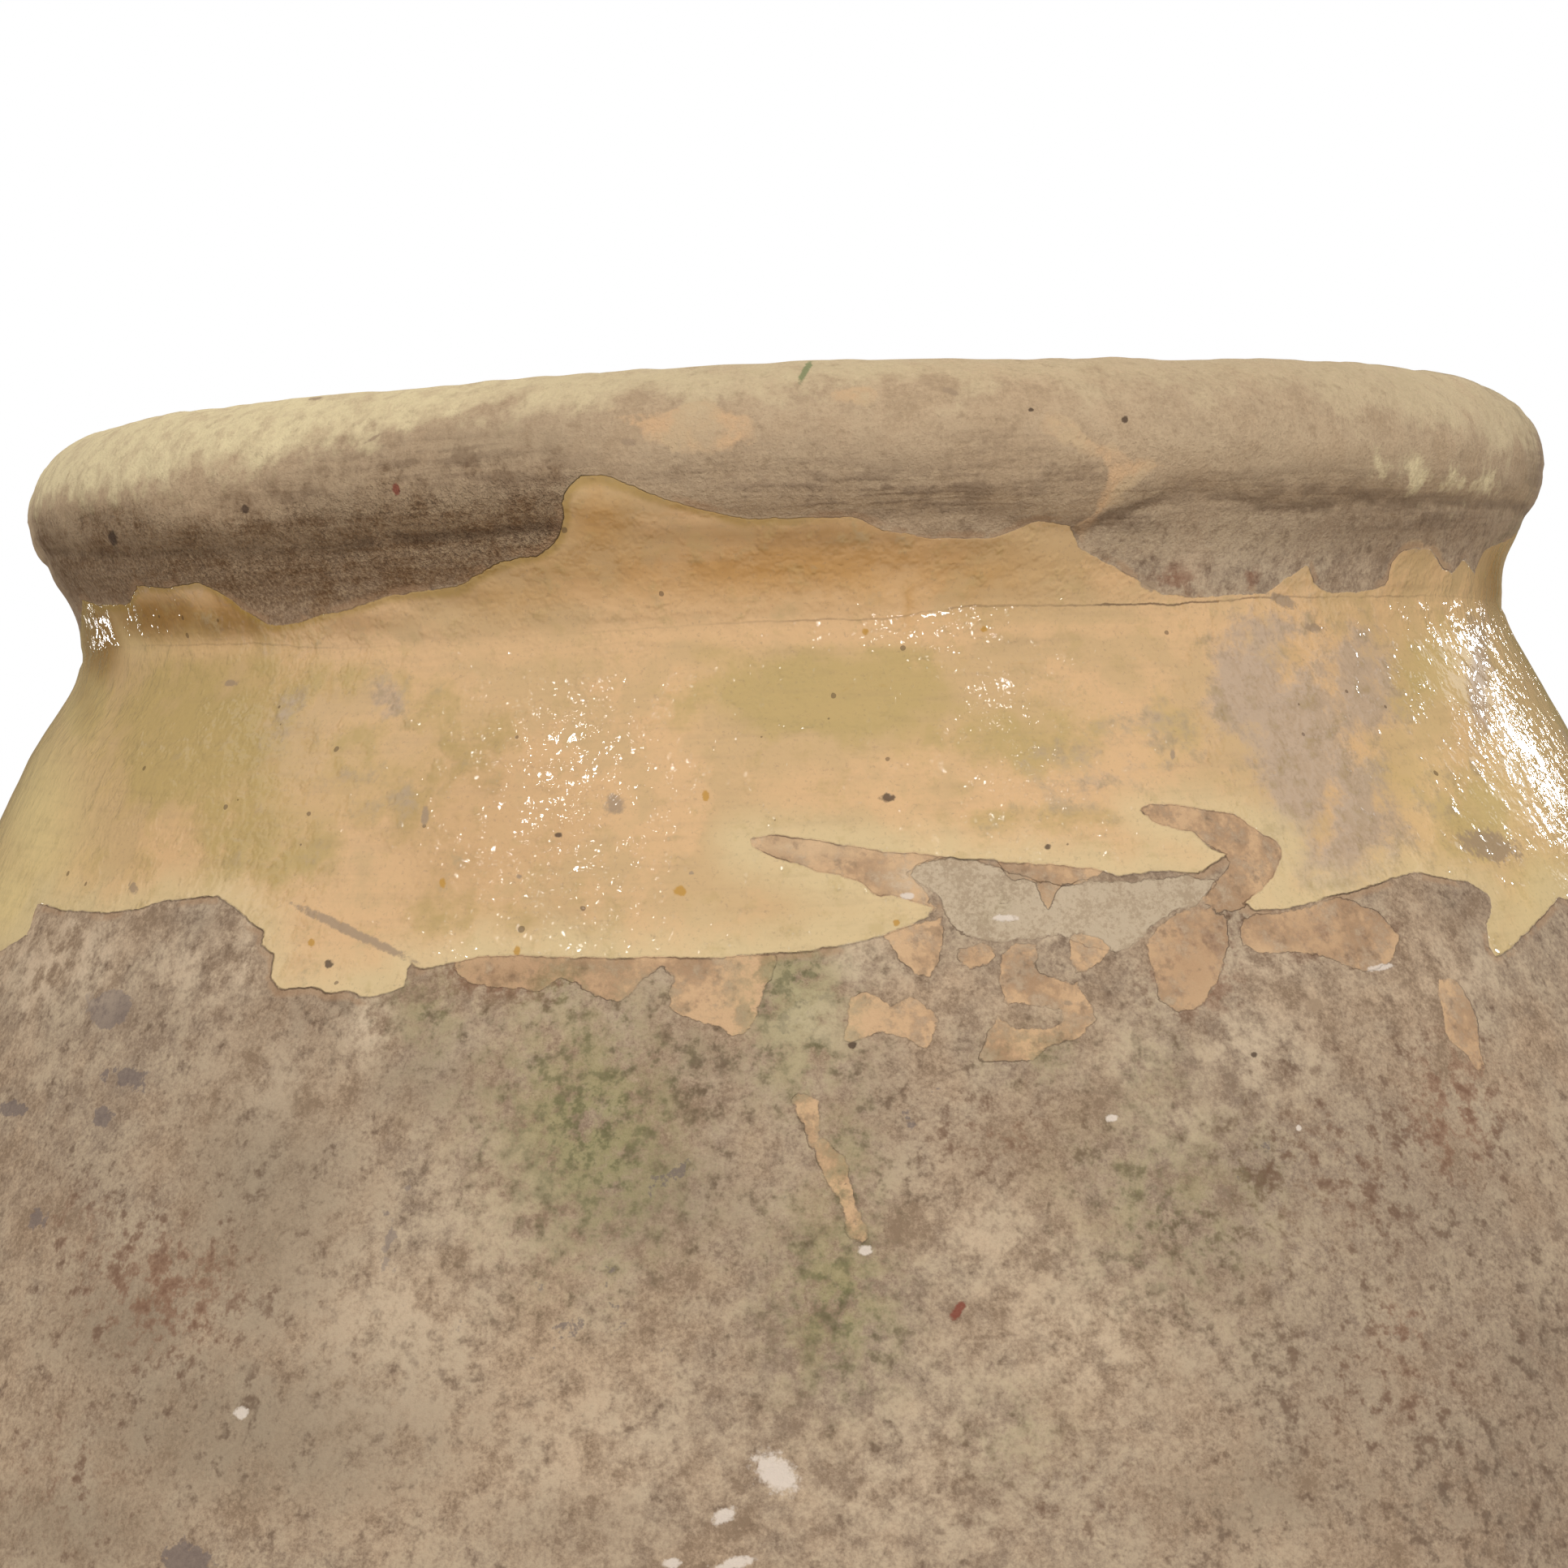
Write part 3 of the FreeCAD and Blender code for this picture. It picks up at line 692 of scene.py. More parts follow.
def build_wall(lines):
    """Make the closed wall: its object, and the turn and path of each of its points."""
    rings = [ring_turns(kind) for kind in KINDS[1:-1]]
    starts = np.cumsum([0] + [len(ring) for ring in rings])
    faces = []
    for number, (ring, next_ring) in enumerate(zip(rings, rings[1:])):
        faces += zip_rings(starts[number], ring, starts[number + 1], next_ring)

    # The middles of the underside and of the floor, the last two points, close the wall
    turns = np.concatenate((*rings, (0, 0)))
    paths = np.concatenate((np.repeat(PATH[1:-1], [len(ring) for ring in rings]), PATH[[0, -1]]))
    total, first, last = starts[-1], len(rings[0]), len(rings[-1])
    faces += [(total, (here + 1) % first, here) for here in range(first)]
    faces += [(total + 1, starts[-2] + here, starts[-2] + (here + 1) % last) for here in range(last)]

    points = wall_point(turns, paths, lines).tolist()
    wall = add_mesh("jar_wall", points, [tuple(map(int, face)) for face in faces])
    wall.data.validate()
    wall.data.shade_smooth()
    return wall, turns, paths


# What the shader reads from the mesh: distances to the outlines, and how strong each stain is

UNROLL = 0.24
FAR_OUTSIDE = -0.08
PATCH_MARGIN = 0.03
EDGE_STEPS = 130
LINE_NAMES = ("tool", "seam", "cream")

# How soon a stain fades from its middle, and how far a wall turned aside still shows one
STAIN_FALL = 0.7
FACING = (0.0, 0.12)

# Small marks: a place far from all of them, how many pixels round a mark it is stored for
MARK_FAR = 9.0
MARK_MARGIN = 28

# Where the drawn stains fade out and the hidden ones begin: turns, and paths on the belly
SHOWN_TURNS = (math.radians(75), math.radians(55))
SHOWN_PATHS = (-0.30, -0.22)
# What the outlines can reach: turns to both sides, and the lowest path
PATCH_TURN = math.radians(100)
PATCH_LOW = -0.45

# Stains beyond the photograph: size of their clouds, where they begin and are full, and strength
HIDDEN_STAINS = {
    "moss": (0.09, 0.56, 0.72, 0.6), "dark": (0.11, 0.52, 0.70, 0.6),
    "ash_and_shade": (0.12, 0.46, 0.66, 0.8), "gold_and_light": (0.09, 0.56, 0.70, 0.5),
    "shade_and_deep_glaze": (0.07, 0.58, 0.72, 0.4),
    "rust": (0.08, 0.60, 0.72, 0.6), "lilac": (0.05, 0.62, 0.74, 0.6),
    "pale": (0.10, 0.52, 0.68, 0.4), "olive": (0.09, 0.48, 0.62, 0.8),
    "veil": (0.08, 0.58, 0.66, 0.9), "peach": (0.08, 0.50, 0.66, 0.7),
    "amber": (0.06, 0.45, 0.70, 0.5),
}
BROAD_CLOUDS = {"cloud": 0.07, "hue": 0.05, "drift": 0.05}


def unrolled(places):
    """Turn and path as flat lengths."""
    return np.asarray(places) * (UNROLL, 1.0)


def inside_distance(points, outline):
    """Distance of flat points to an outline, more than 0 inside it."""
    nearest = np.full(len(points), np.inf)
    inside = np.zeros(len(points), bool)
    for start, end in zip(outline, np.roll(outline, -1, axis=0)):
        side = end - start
        reach = points - start
        part = np.clip(reach @ side / max(side @ side, 1e-12), 0, 1)
        gap = reach - part[:, None] * side
        nearest = np.minimum(nearest, (gap ** 2).sum(axis=1))
        crosses = (start[1] > points[:, 1]) != (end[1] > points[:, 1])
        if side[1] != 0:
            inside ^= crosses & (reach[:, 0] < side[0] * reach[:, 1] / side[1])
    return np.sqrt(nearest) * np.where(inside, 1, -1)


def patches_distance(points, front, patches):
    """Distance to the nearest of several outlines drawn in pixels, more than 0 inside one."""
    distance = np.full(len(points), FAR_OUTSIDE)
    for patch in patches:
        outline = unrolled(on_wall(patch))
        low, high = outline.min(axis=0) - PATCH_MARGIN, outline.max(axis=0) + PATCH_MARGIN
        near = front & ((points > low) & (points < high)).all(axis=1)
        distance[near] = np.maximum(distance[near], inside_distance(points[near], outline))
    return distance


def hidden(edge):
    """A hidden edge's places as turns and paths, from degrees and millimetres."""
    return np.array([(math.radians(degrees), millimetres / 1000) for degrees, millimetres in edge])


def rounded(places):
    """The same edge with its corners eased, as glaze runs."""
    turns = np.linspace(places[0, 0], places[-1, 0], EDGE_STEPS)
    spans = np.clip(np.searchsorted(places[:, 0], turns) - 1, 0, len(places) - 2)
    part = (turns - places[spans, 0]) / (places[spans + 1, 0] - places[spans, 0])
    ease = 0.5 - 0.5 * np.cos(math.pi * part)
    paths = places[spans, 1] + ease * (places[spans + 1, 1] - places[spans, 1])
    return np.column_stack((turns, paths))


def glaze_outline():
    """The glaze's whole outline: the photograph's edges, with the hidden ones on both sides."""
    edges = []
    for drawn, unseen in ((GLAZE_LOWER_EDGE, HIDDEN_LOWER_EDGE), (GLAZE_UPPER_EDGE, HIDDEN_UPPER_EDGE)):
        behind = rounded(hidden(unseen))
        edges.append(np.concatenate((behind - (2 * math.pi, 0), on_wall(drawn), behind)))
    below, above = edges
    return unrolled(np.concatenate((below, above[::-1])))


def round_line(pixels, hidden_line):
    """A line all the way round, from pixels in front and hidden places behind."""
    places = np.concatenate((on_wall([spot[:2] for spot in pixels]),
                             hidden([spot[:2] for spot in hidden_line])))
    strength = [spot[2] for spot in (*pixels, *hidden_line)]
    return np.column_stack((places, strength))


def facing_camera(points, turns, paths):
    """1 where the wall faces the photograph's camera, 0 where it faces away, smooth between."""
    level = np.interp(paths, PATH, NORMALS[:, 0])
    normals = np.column_stack((level * np.sin(turns), -level * np.cos(turns),
                               np.interp(paths, PATH, NORMALS[:, 1])))
    sight = CAMERA_PLACE - points
    sight /= np.linalg.norm(sight, axis=1)[:, None]
    return step_up((normals * sight).sum(axis=1), *FACING)


def stain_strength(pixels, spots):
    """How strong a kind of stain is at the photograph's pixels."""
    strength = np.zeros(len(pixels))
    for centre_x, centre_y, half_width, half_height, most in spots:
        gap = (pixels - (centre_x, centre_y)) / (half_width, half_height)
        strength = np.maximum(strength, most * np.exp(-STAIN_FALL * (gap ** 2).sum(axis=1)))
    return strength


def clouds(points, size, octaves, seed, fade=0.55):
    """Soft noise between 0 and 1 at places in space, its largest clouds about this size."""
    table = np.random.default_rng(seed).random((32, 32, 32))
    total, weight, weights = np.zeros(len(points)), 1.0, 0.0
    for octave in range(octaves):
        spot = points * 2 ** octave / size + 100
        cell = np.floor(spot).astype(int)
        part = spot - cell
        part = part * part * (3 - 2 * part)
        for corner in np.ndindex(2, 2, 2):
            share = np.where(corner, part, 1 - part).prod(axis=1)
            x, y, z = ((cell + corner) % 32).T
            total += weight * share * table[x, y, z]
        weights += weight
        weight *= fade
    return total / weights


def store(mesh, name, values):
    """Keep one number a point on the mesh, for the shader."""
    layer = mesh.attributes.new(name, "FLOAT", "POINT")
    layer.data.foreach_set("value", np.asarray(values, np.float32))


def store_marks(mesh, pixels, facing):
    """Give the points near each small mark their place in it, 1 at its edge, and its kind."""
    place = np.full((len(pixels), 2), MARK_FAR)
    count = np.zeros(len(pixels))
    kinds = np.zeros(len(pixels))
    listed = [(order, *mark) for order, kind in enumerate(MARKS, start=1) for mark in MARKS[kind]]
    for number, (order, centre_x, centre_y, half_width, half_height, tilt) in enumerate(listed, start=1):
        gap = pixels - (centre_x, centre_y)
        cosine, sine = math.cos(math.radians(tilt)), math.sin(math.radians(tilt))
        here = np.column_stack((gap @ (cosine, sine) / half_width, gap @ (-sine, cosine) / half_height))
        near = facing > 0.5
        near &= np.linalg.norm(gap, axis=1) < max(half_width, half_height) + MARK_MARGIN
        near &= np.linalg.norm(here, axis=1) < np.linalg.norm(place, axis=1)
        place[near] = here[near]
        count[near] = number
        kinds[near] = order
    for order, kind in enumerate(MARKS, start=1):
        store(mesh, "mark_" + kind, kinds == order)
    store(mesh, "mark_across", place[:, 0])
    store(mesh, "mark_upward", place[:, 1])
    store(mesh, "mark_number", count)


def paint_wall(mesh, turns, paths, lines):
    """Store every outline and stain on the wall's mesh."""
    flat = unrolled(np.stack((turns, paths), axis=1))
    points = np.array([vertex.co for vertex in mesh.vertices])
    outside = (paths > PATH[0] + PAINTED_START) & (paths < LIP_TOP_PATH + PAINTED_END)
    front = outside & (np.abs(turns) < PATCH_TURN) & (paths > PATCH_LOW)
    shown = step_up(np.abs(turns), *SHOWN_TURNS) * step_up(paths, *SHOWN_PATHS)
    pixels = to_pixels(points)
    facing = facing_camera(points, turns, paths) * outside
    store(mesh, "glaze_edge", np.where(outside, inside_distance(flat, glaze_outline()), FAR_OUTSIDE))
    for name, patches in (("slip_edge", SLIP_PATCHES), ("grey_edge", GREY_PATCHES),
                          ("cream_edge", LIP_CREAM), ("peach_edge", LIP_PEACH),
                          ("shade_edge", LIP_SHADE)):
        store(mesh, name, patches_distance(flat, front, patches))
    for seed, (name, spots) in enumerate(STAINS.items(), start=SEED):
        size, low, high, most = HIDDEN_STAINS[name]
        unseen = most * step_up(clouds(points, size, 3, seed), low, high)
        drawn = stain_strength(pixels, spots) * facing
        store(mesh, name, np.maximum(drawn, unseen * (1 - shown * facing)))
    for seed, (name, size) in enumerate(BROAD_CLOUDS.items(), start=SEED + 20):
        store(mesh, name, clouds(points, size, 4, seed))
    for name, line in zip(LINE_NAMES, lines):
        store(mesh, name + "_side", np.where(outside, paths - line_path(turns, line), FAR_OUTSIDE))
        store(mesh, name + "_strength", line_path(turns, line, 2))
    store(mesh, "path", paths)
    store(mesh, "across", flat[:, 0])
    store(mesh, "shown", shown)
    store_marks(mesh, pixels, facing)


# Materials

def colour(red, green, blue):
    """A colour as it is seen, from 0 to 255, in the shader's own units."""
    parts = [value / 255 for value in (red, green, blue)]
    linear = [part / 12.92 if part <= 0.04045 else ((part + 0.055) / 1.055) ** 2.4
              for part in parts]
    return (*linear, 1.0)


CLAY_DARK = colour(96, 74, 58)
BROWN_WARM = colour(138, 115, 92)
BROWN_COOL = colour(136, 116, 98)
LIGHT_PEACH = colour(196, 168, 138)
LIGHT_GREY = colour(186, 164, 136)
# Grey ash, darkened to paint the shade low on the left
ASH_AND_SHADE = colour(142, 126, 104)
# Brown clay darkened as painted shade under the lip
LIP_BROWN_AND_SHADE = colour(112, 81, 52)
LIP_TAN = colour(196, 168, 132)
CREAM = colour(224, 205, 162)
MOSS = colour(142, 138, 90)
MOSS_DARK = colour(92, 90, 58)
# Soot, which also paints shade under the lip
SOOT_AND_SHADE = colour(84, 72, 62)
RUST = colour(128, 84, 62)
LILAC = colour(114, 100, 94)
CHALK = colour(222, 198, 168)
GREY_BARE = colour(200, 180, 152)
GREY_DEEP = colour(168, 147, 121)
SLIP = colour(208, 170, 130)
SLIP_LIGHT = colour(216, 182, 142)
SLIP_DEEP = colour(168, 134, 102)
GLAZE = colour(202, 168, 122)
GLAZE_PALE = colour(214, 190, 144)
GLAZE_OLIVE = colour(184, 158, 102)
GLAZE_PEACH = colour(216, 176, 129)
GLAZE_AMBER = colour(192, 142, 76)
GLAZE_RIM = colour(160, 128, 58)
GLAZE_SHADE_AND_DEEP = colour(140, 100, 48)
# Pale gold glaze, lightened as painted light for the sides
GLAZE_GOLD_AND_LIGHT = colour(232, 206, 146)
GLAZE_VEIL = colour(184, 160, 136)
CRACK_AND_SHADE = colour(84, 62, 44)
OCHRE_INSIDE = colour(196, 158, 104)
PIT = colour(74, 56, 44)
FLAKE = colour(160, 136, 110)
WHITE_MARK = colour(222, 206, 190)
OCHRE_MARK = colour(186, 138, 56)
RED_MARK = colour(128, 64, 50)
GREEN_MARK = colour(122, 130, 88)

# What the noises look like: size of their largest clouds, detail and roughness
NOISES = {
    "ragged": (0.006, 2.0, 0.6), "crisp": (0.0014, 2.0, 0.7), "blotch": (0.014, 4.0, 0.65),
    "mottle": (0.006, 4.0, 0.72), "grain": (0.001, 2.0, 0.8), "speck": (0.0036, 3.0, 0.70),
}

# The surface: roughness of clay, lining and glaze, how much it bends light, the height of
# its relief, and how far apart the glaze's dark dots are
CLAY_ROUGHNESS = 0.88
LINING_ROUGHNESS = 0.45
GLOSS = (0.03, 0.05)
BENDING = 1.33
RELIEF = 0.0010
DOTS_APART = 1 / 120


class Shader:
    """Short calls that add nodes to one material or world.

    A value may be a number, another node's output or the name of what is stored on the mesh.
    """

    def __init__(self, owner, output="ShaderNodeOutputMaterial"):
        owner.use_nodes = True
        self.owner = owner
        self.tree = owner.node_tree
        self.tree.nodes.clear()
        self.output = self.tree.nodes.new(output)

    def add(self, kind, inputs=(), **settings):
        """Add a node, set it up and feed its inputs."""
        node = self.tree.nodes.new(kind)
        for name, value in settings.items():
            setattr(node, name, value)
        for name, value in dict(inputs).items():
            self.feed(node.inputs[name], value)
        return node

    def feed(self, socket, value):
        """Give a socket its value."""
        if isinstance(value, str):
            value = self.add("ShaderNodeAttribute", attribute_name=value).outputs["Fac"]
        if isinstance(value, bpy.types.NodeSocket):
            self.tree.links.new(value, socket)
        else:
            socket.default_value = value

    def finish(self, surface):
        """Show a surface, and hand back what has it."""
        self.feed(self.output.inputs["Surface"], surface.outputs[0])
        return self.owner

    def math(self, operation, first, second):
        return self.add("ShaderNodeMath", {0: first, 1: second}, operation=operation).outputs[0]

    def combined(self, operation, values):
        result = values[0]
        for value in values[1:]:
            result = self.math(operation, result, value)
        return result

    def product(self, *values):
        return self.combined("MULTIPLY", values)

    def total(self, *values):
        return self.combined("ADD", values)

    def greatest(self, *values):
        return self.combined("MAXIMUM", values)

    def rest(self, value):
        """What a value leaves of 1."""
        return self.math("SUBTRACT", 1.0, value)

    def swing(self, value, scale):
        """How far a noise is from its middle, times a scale."""
        return self.product(self.math("SUBTRACT", value, 0.5), scale)

    def spread(self, value, low, high, to_low=0.0, to_high=1.0):
        """Stretch a value from one span to another, held at its ends."""
        return self.add("ShaderNodeMapRange", {0: value, 1: low, 2: high, 3: to_low, 4: to_high},
                        interpolation_type="SMOOTHSTEP").outputs[0]

    def place(self):
        """The place on the object, in metres."""
        return self.add("ShaderNodeTexCoord").outputs["Object"]

    def noise(self, where, size, detail=3.0, roughness=0.55):
        """Cloudy noise whose largest clouds are about this size, in metres."""
        return self.add("ShaderNodeTexNoise", {"Vector": where, "Scale": 1 / size, "Detail": detail,
                                               "Roughness": roughness}).outputs[0]

    def mix(self, part, first, second):
        return self.add("ShaderNodeMix", {0: part, 6: first, 7: second}, data_type="RGBA").outputs[2]

    def mix_numbers(self, part, first, second):
        return self.add("ShaderNodeMix", {0: part, 2: first, 3: second}).outputs[0]

    def length(self, vector):
        return self.add("ShaderNodeVectorMath", {0: vector}, operation="LENGTH").outputs["Value"]

    def matt(self, paint):
        """A dull surface."""
        return self.add("ShaderNodeBsdfPrincipled", {"Base Color": paint, "Roughness": 0.9})

    def mirrored(self):
        """1 for the camera, and for what glaze, metal and glass show, else 0."""
        rays = self.add("ShaderNodeLightPath").outputs
        return self.greatest(*[rays[name] for name in ("Is Camera Ray", "Is Glossy Ray",
                                                       "Is Transmission Ray")])


def make_earthenware():
    """Weathered clay with flaked slip and a glossy, honey-coloured glaze over neck and shoulder."""
    s = Shader(bpy.data.materials.new("weathered_earthenware"))
    where = s.place()
    ragged, crisp, blotch, mottle, grain, speck = [s.noise(where, *look) for look in NOISES.values()]
    streak = streaks(s)
    wander = s.total(s.swing(ragged, 0.0030), s.swing(crisp, 0.0012))

    # Where each layer lies
    glaze_edge = s.total("glaze_edge", s.product(wander, 0.5))
    slip_edge = s.total("slip_edge", wander)
    grey_edge = s.total("grey_edge", wander)
    glazed = s.spread(glaze_edge, -0.00016, 0.00016)
    unglazed = s.rest(glazed)
    slipped = s.spread(slip_edge, -0.0002, 0.0002)
    bared = s.spread(grey_edge, -0.0003, 0.0003)
    on_lip = s.spread("path", 0.012, 0.028)
    inside = s.spread("path", LIP_TOP_PATH + 0.012, LIP_TOP_PATH + 0.020)

    body = clay_colour(s, mottle, grain, blotch, speck)
    body = lip_colour(s, body, on_lip, mottle, grain, blotch, streak, speck)
    body = slip_colour(s, body, glaze_edge, slipped, bared, mottle, grain, blotch, speck)
    body = s.mix(glazed, body, glaze_colour(s, where, glaze_edge, mottle, grain, blotch, streak))
    crack_and_shade = cracks_and_shade(s, glaze_edge, (slip_edge, grey_edge), wander, unglazed, blotch)
    body = s.mix(crack_and_shade, body, CRACK_AND_SHADE)
    body = mark_colour(s, body, crisp, ragged)

    # Inside: the same honey glaze, thin and uneven over the clay
    lining = s.mix(s.spread(blotch, 0.40, 0.60), OCHRE_INSIDE, LIGHT_PEACH)
    lining = s.mix(s.spread("cloud", 0.45, 0.65, 0.0, 0.6), lining, GLAZE_AMBER)
    body = s.mix(inside, body, lining)

    # Relief: grainy clay, roughest under the lip, a step at each border, and ripples in the glaze
    under_lip = s.product(on_lip, s.spread("shade_edge", -0.004, 0.004))
    roughest = s.total(0.55, s.product(on_lip, 0.55), s.product(under_lip, 2.6))
    clay_relief = s.product(s.total(s.product(mottle, 0.70), s.product(grain, 0.45)), roughest)
    lines = s.product("dark", on_lip, streak, 1.2)
    step = s.total(s.product(s.spread(slip_edge, -0.0003, 0.0002), 0.25),
                   s.product(s.spread(grey_edge, -0.0003, 0.0002), -0.25), clay_relief, lines)
    rippling = s.product(s.spread("gold_and_light", 0.0, 0.8, 1.0, 0.28), s.spread(blotch, 0.42, 0.60, 0.50, 1.10))
    ripple = s.product(s.total(s.product(ragged, 0.90), s.product(crisp, 0.05)), rippling)
    relief = s.total(s.product(s.spread(glaze_edge, -0.0005, 0.0003), 0.5),
                     s.product(step, unglazed), s.product(ripple, glazed))
    normal = s.add("ShaderNodeBump", {"Height": relief, "Distance": RELIEF, "Strength": 1.0})

    roughness = s.mix_numbers(glazed, CLAY_ROUGHNESS, s.spread("drift", 0.35, 0.65, *GLOSS))
    roughness = s.mix_numbers(inside, roughness, LINING_ROUGHNESS)
    return s.finish(s.add("ShaderNodeBsdfPrincipled", {
        "Base Color": body, "Roughness": roughness, "Normal": normal.outputs[0], "IOR": BENDING}))


def streaks(s):
    """Fine level streaks left by the wheel and the brush."""
    flat = s.add("ShaderNodeCombineXYZ", {0: s.product("across", 0.07), 1: "path"})
    return s.noise(flat.outputs[0], 0.0030, 2.0, 0.7)


def clay_colour(s, mottle, grain, blotch, speck):
    """Bare clay: soft mottles, warm and cool, with the stains of age in clusters of specks."""
    tone = s.total(s.product(mottle, 0.75), s.product(grain, 0.65), s.product(blotch, 0.50),
                   s.product("cloud", 0.22), -0.56)
    cool = s.spread(s.total(s.product("hue", 0.5), blotch, s.product(grain, 0.3)), 0.70, 1.10)
    dim = s.mix(cool, BROWN_WARM, BROWN_COOL)
    light = s.mix(cool, LIGHT_PEACH, LIGHT_GREY)
    clay = s.mix(s.spread(tone, 0.26, 0.74), dim, light)
    # Grey ash, darkened as painted shade low on the left
    ashen_and_shaded = s.spread(s.total("ash_and_shade", s.swing(mottle, 1.2)), 0.2, 0.9)
    clay = s.mix(s.product(ashen_and_shaded, 0.6), clay, ASH_AND_SHADE)

    # Dark specks of dirt; under the lip the dark stains paint shade
    dirt_and_shade = s.total(speck, s.product("dark", 0.16), s.swing(blotch, 0.3))
    clay = s.mix(s.product(s.spread(dirt_and_shade, 0.54, 0.76), 0.70), clay, CLAY_DARK)
    clay = s.mix(s.product("dark", s.spread(mottle, 0.40, 0.60), 0.5), clay, SOOT_AND_SHADE)
    rusty = s.spread(s.total(speck, s.product("rust", 0.25)), 0.56, 0.70)
    clay = s.mix(s.product(rusty, "rust", 0.85), clay, RUST)
    mossy = s.spread(s.total(mottle, s.product("moss", 0.14)), 0.46, 0.70)
    clay = s.mix(s.product("moss", mossy, 0.80), clay, MOSS)
    sooty = s.spread(s.total(speck, s.product(grain, 0.4)), 0.64, 0.84)
    clay = s.mix(s.product("moss", sooty, 0.85), clay, MOSS_DARK)
    lilac = s.total("lilac", s.swing(mottle, 1.6))
    clay = s.mix(s.product(s.spread(lilac, 0.42, 0.54), 0.75), clay, LILAC)
    return s.mix(s.product("pale", s.spread(mottle, 0.38, 0.60), 0.7), clay, CHALK)


def lip_colour(s, clay, on_lip, mottle, grain, blotch, streak, speck):
    """The lip: cream slip worn thin on top, rough brown below darkened with painted shade, its grain
    picked out in painted light and shade, and peach where slip is left.
    """
    uneven = s.total(s.swing(blotch, 0.040), s.swing(mottle, 0.014))
    lip = s.mix(s.product(on_lip, s.spread("path", 0.022, 0.034, 0.25, 0.5)), clay, LIP_TAN)
    # Painted shade under the lip's overhang: brown darkened, in soft patches
    shade = s.spread(s.total("shade_edge", s.product(uneven, 1.4)), -0.009, 0.010)
    brown_shade_patches = s.spread(s.total(s.product(mottle, 0.7), s.product(streak, 0.5)), 0.48, 0.76, 0.45, 0.95)
    lip = s.mix(s.product(shade, brown_shade_patches), lip, LIP_BROWN_AND_SHADE)
    # Light and dark specks under the lip paint its grain as lit from the side: painted light and shade
    lip = s.mix(s.product(shade, s.spread(grain, 0.46, 0.66, 0.0, 0.34)), lip, LIP_TAN)
    lip = s.mix(s.product(shade, s.spread(grain, 0.46, 0.30, 0.0, 0.40)), lip, PIT)
    # Painted shade on the lip where the dark stains lie under it, mottled
    dirt_and_shade = s.spread(s.total(streak, mottle), 0.90, 1.12, 0.30, 1.0)
    lip = s.mix(s.product("dark", on_lip, dirt_and_shade), lip, CLAY_DARK)
    above = s.spread(s.total("cream_side", uneven), -0.004, 0.006)
    cream = s.greatest(s.spread(s.total("cream_edge", uneven), -0.003, 0.005),
                       s.product(above, "cream_strength"))
    cream = s.product(cream, s.spread(s.total(mottle, s.product(speck, 0.5)), 0.95, 0.65, 0.45, 1.0))
    lip = s.mix(cream, lip, CREAM)
    peach = s.spread(s.total("peach_edge", s.product(uneven, 0.35)), -0.0006, 0.0010)
    return s.mix(s.product(peach, s.spread(mottle, 0.66, 0.40, 0.35, 0.9)), lip,
                 s.mix(s.spread(blotch, 0.42, 0.58), SLIP, LIP_TAN))


def slip_colour(s, clay, glaze_edge, slipped, bared, mottle, grain, blotch, speck):
    """Peach slip left in worn patches, and the paler clay bared where glaze flaked off."""
    brim = s.product(s.spread(glaze_edge, -0.0024, -0.0010), s.spread(blotch, 0.46, 0.56))
    clay = s.mix(s.product(brim, 0.6), clay, SLIP_DEEP)
    grey = s.mix(s.spread(s.total(s.product(mottle, 0.6), s.product(grain, 0.5)), 0.48, 0.66),
                 GREY_BARE, GREY_DEEP)
    body = s.mix(s.product(bared, 0.8), clay, grey)
    slip = s.mix(s.spread(s.total(blotch, s.product(mottle, 0.6)), 0.70, 0.92), SLIP, SLIP_DEEP)
    slip = s.mix(s.product("rust", 0.65), slip, SLIP_DEEP)
    slip = s.mix(s.product("pale", 0.9), slip, SLIP_LIGHT)
    slip = s.mix(s.product("moss", s.spread(mottle, 0.40, 0.56), 0.6), slip, MOSS)
    slip = s.mix(s.product(s.spread(speck, 0.55, 0.68), 0.45), slip, BROWN_WARM)
    return s.mix(s.product(slipped, s.spread(mottle, 0.66, 0.46, 0.25, 0.90)), body, slip)


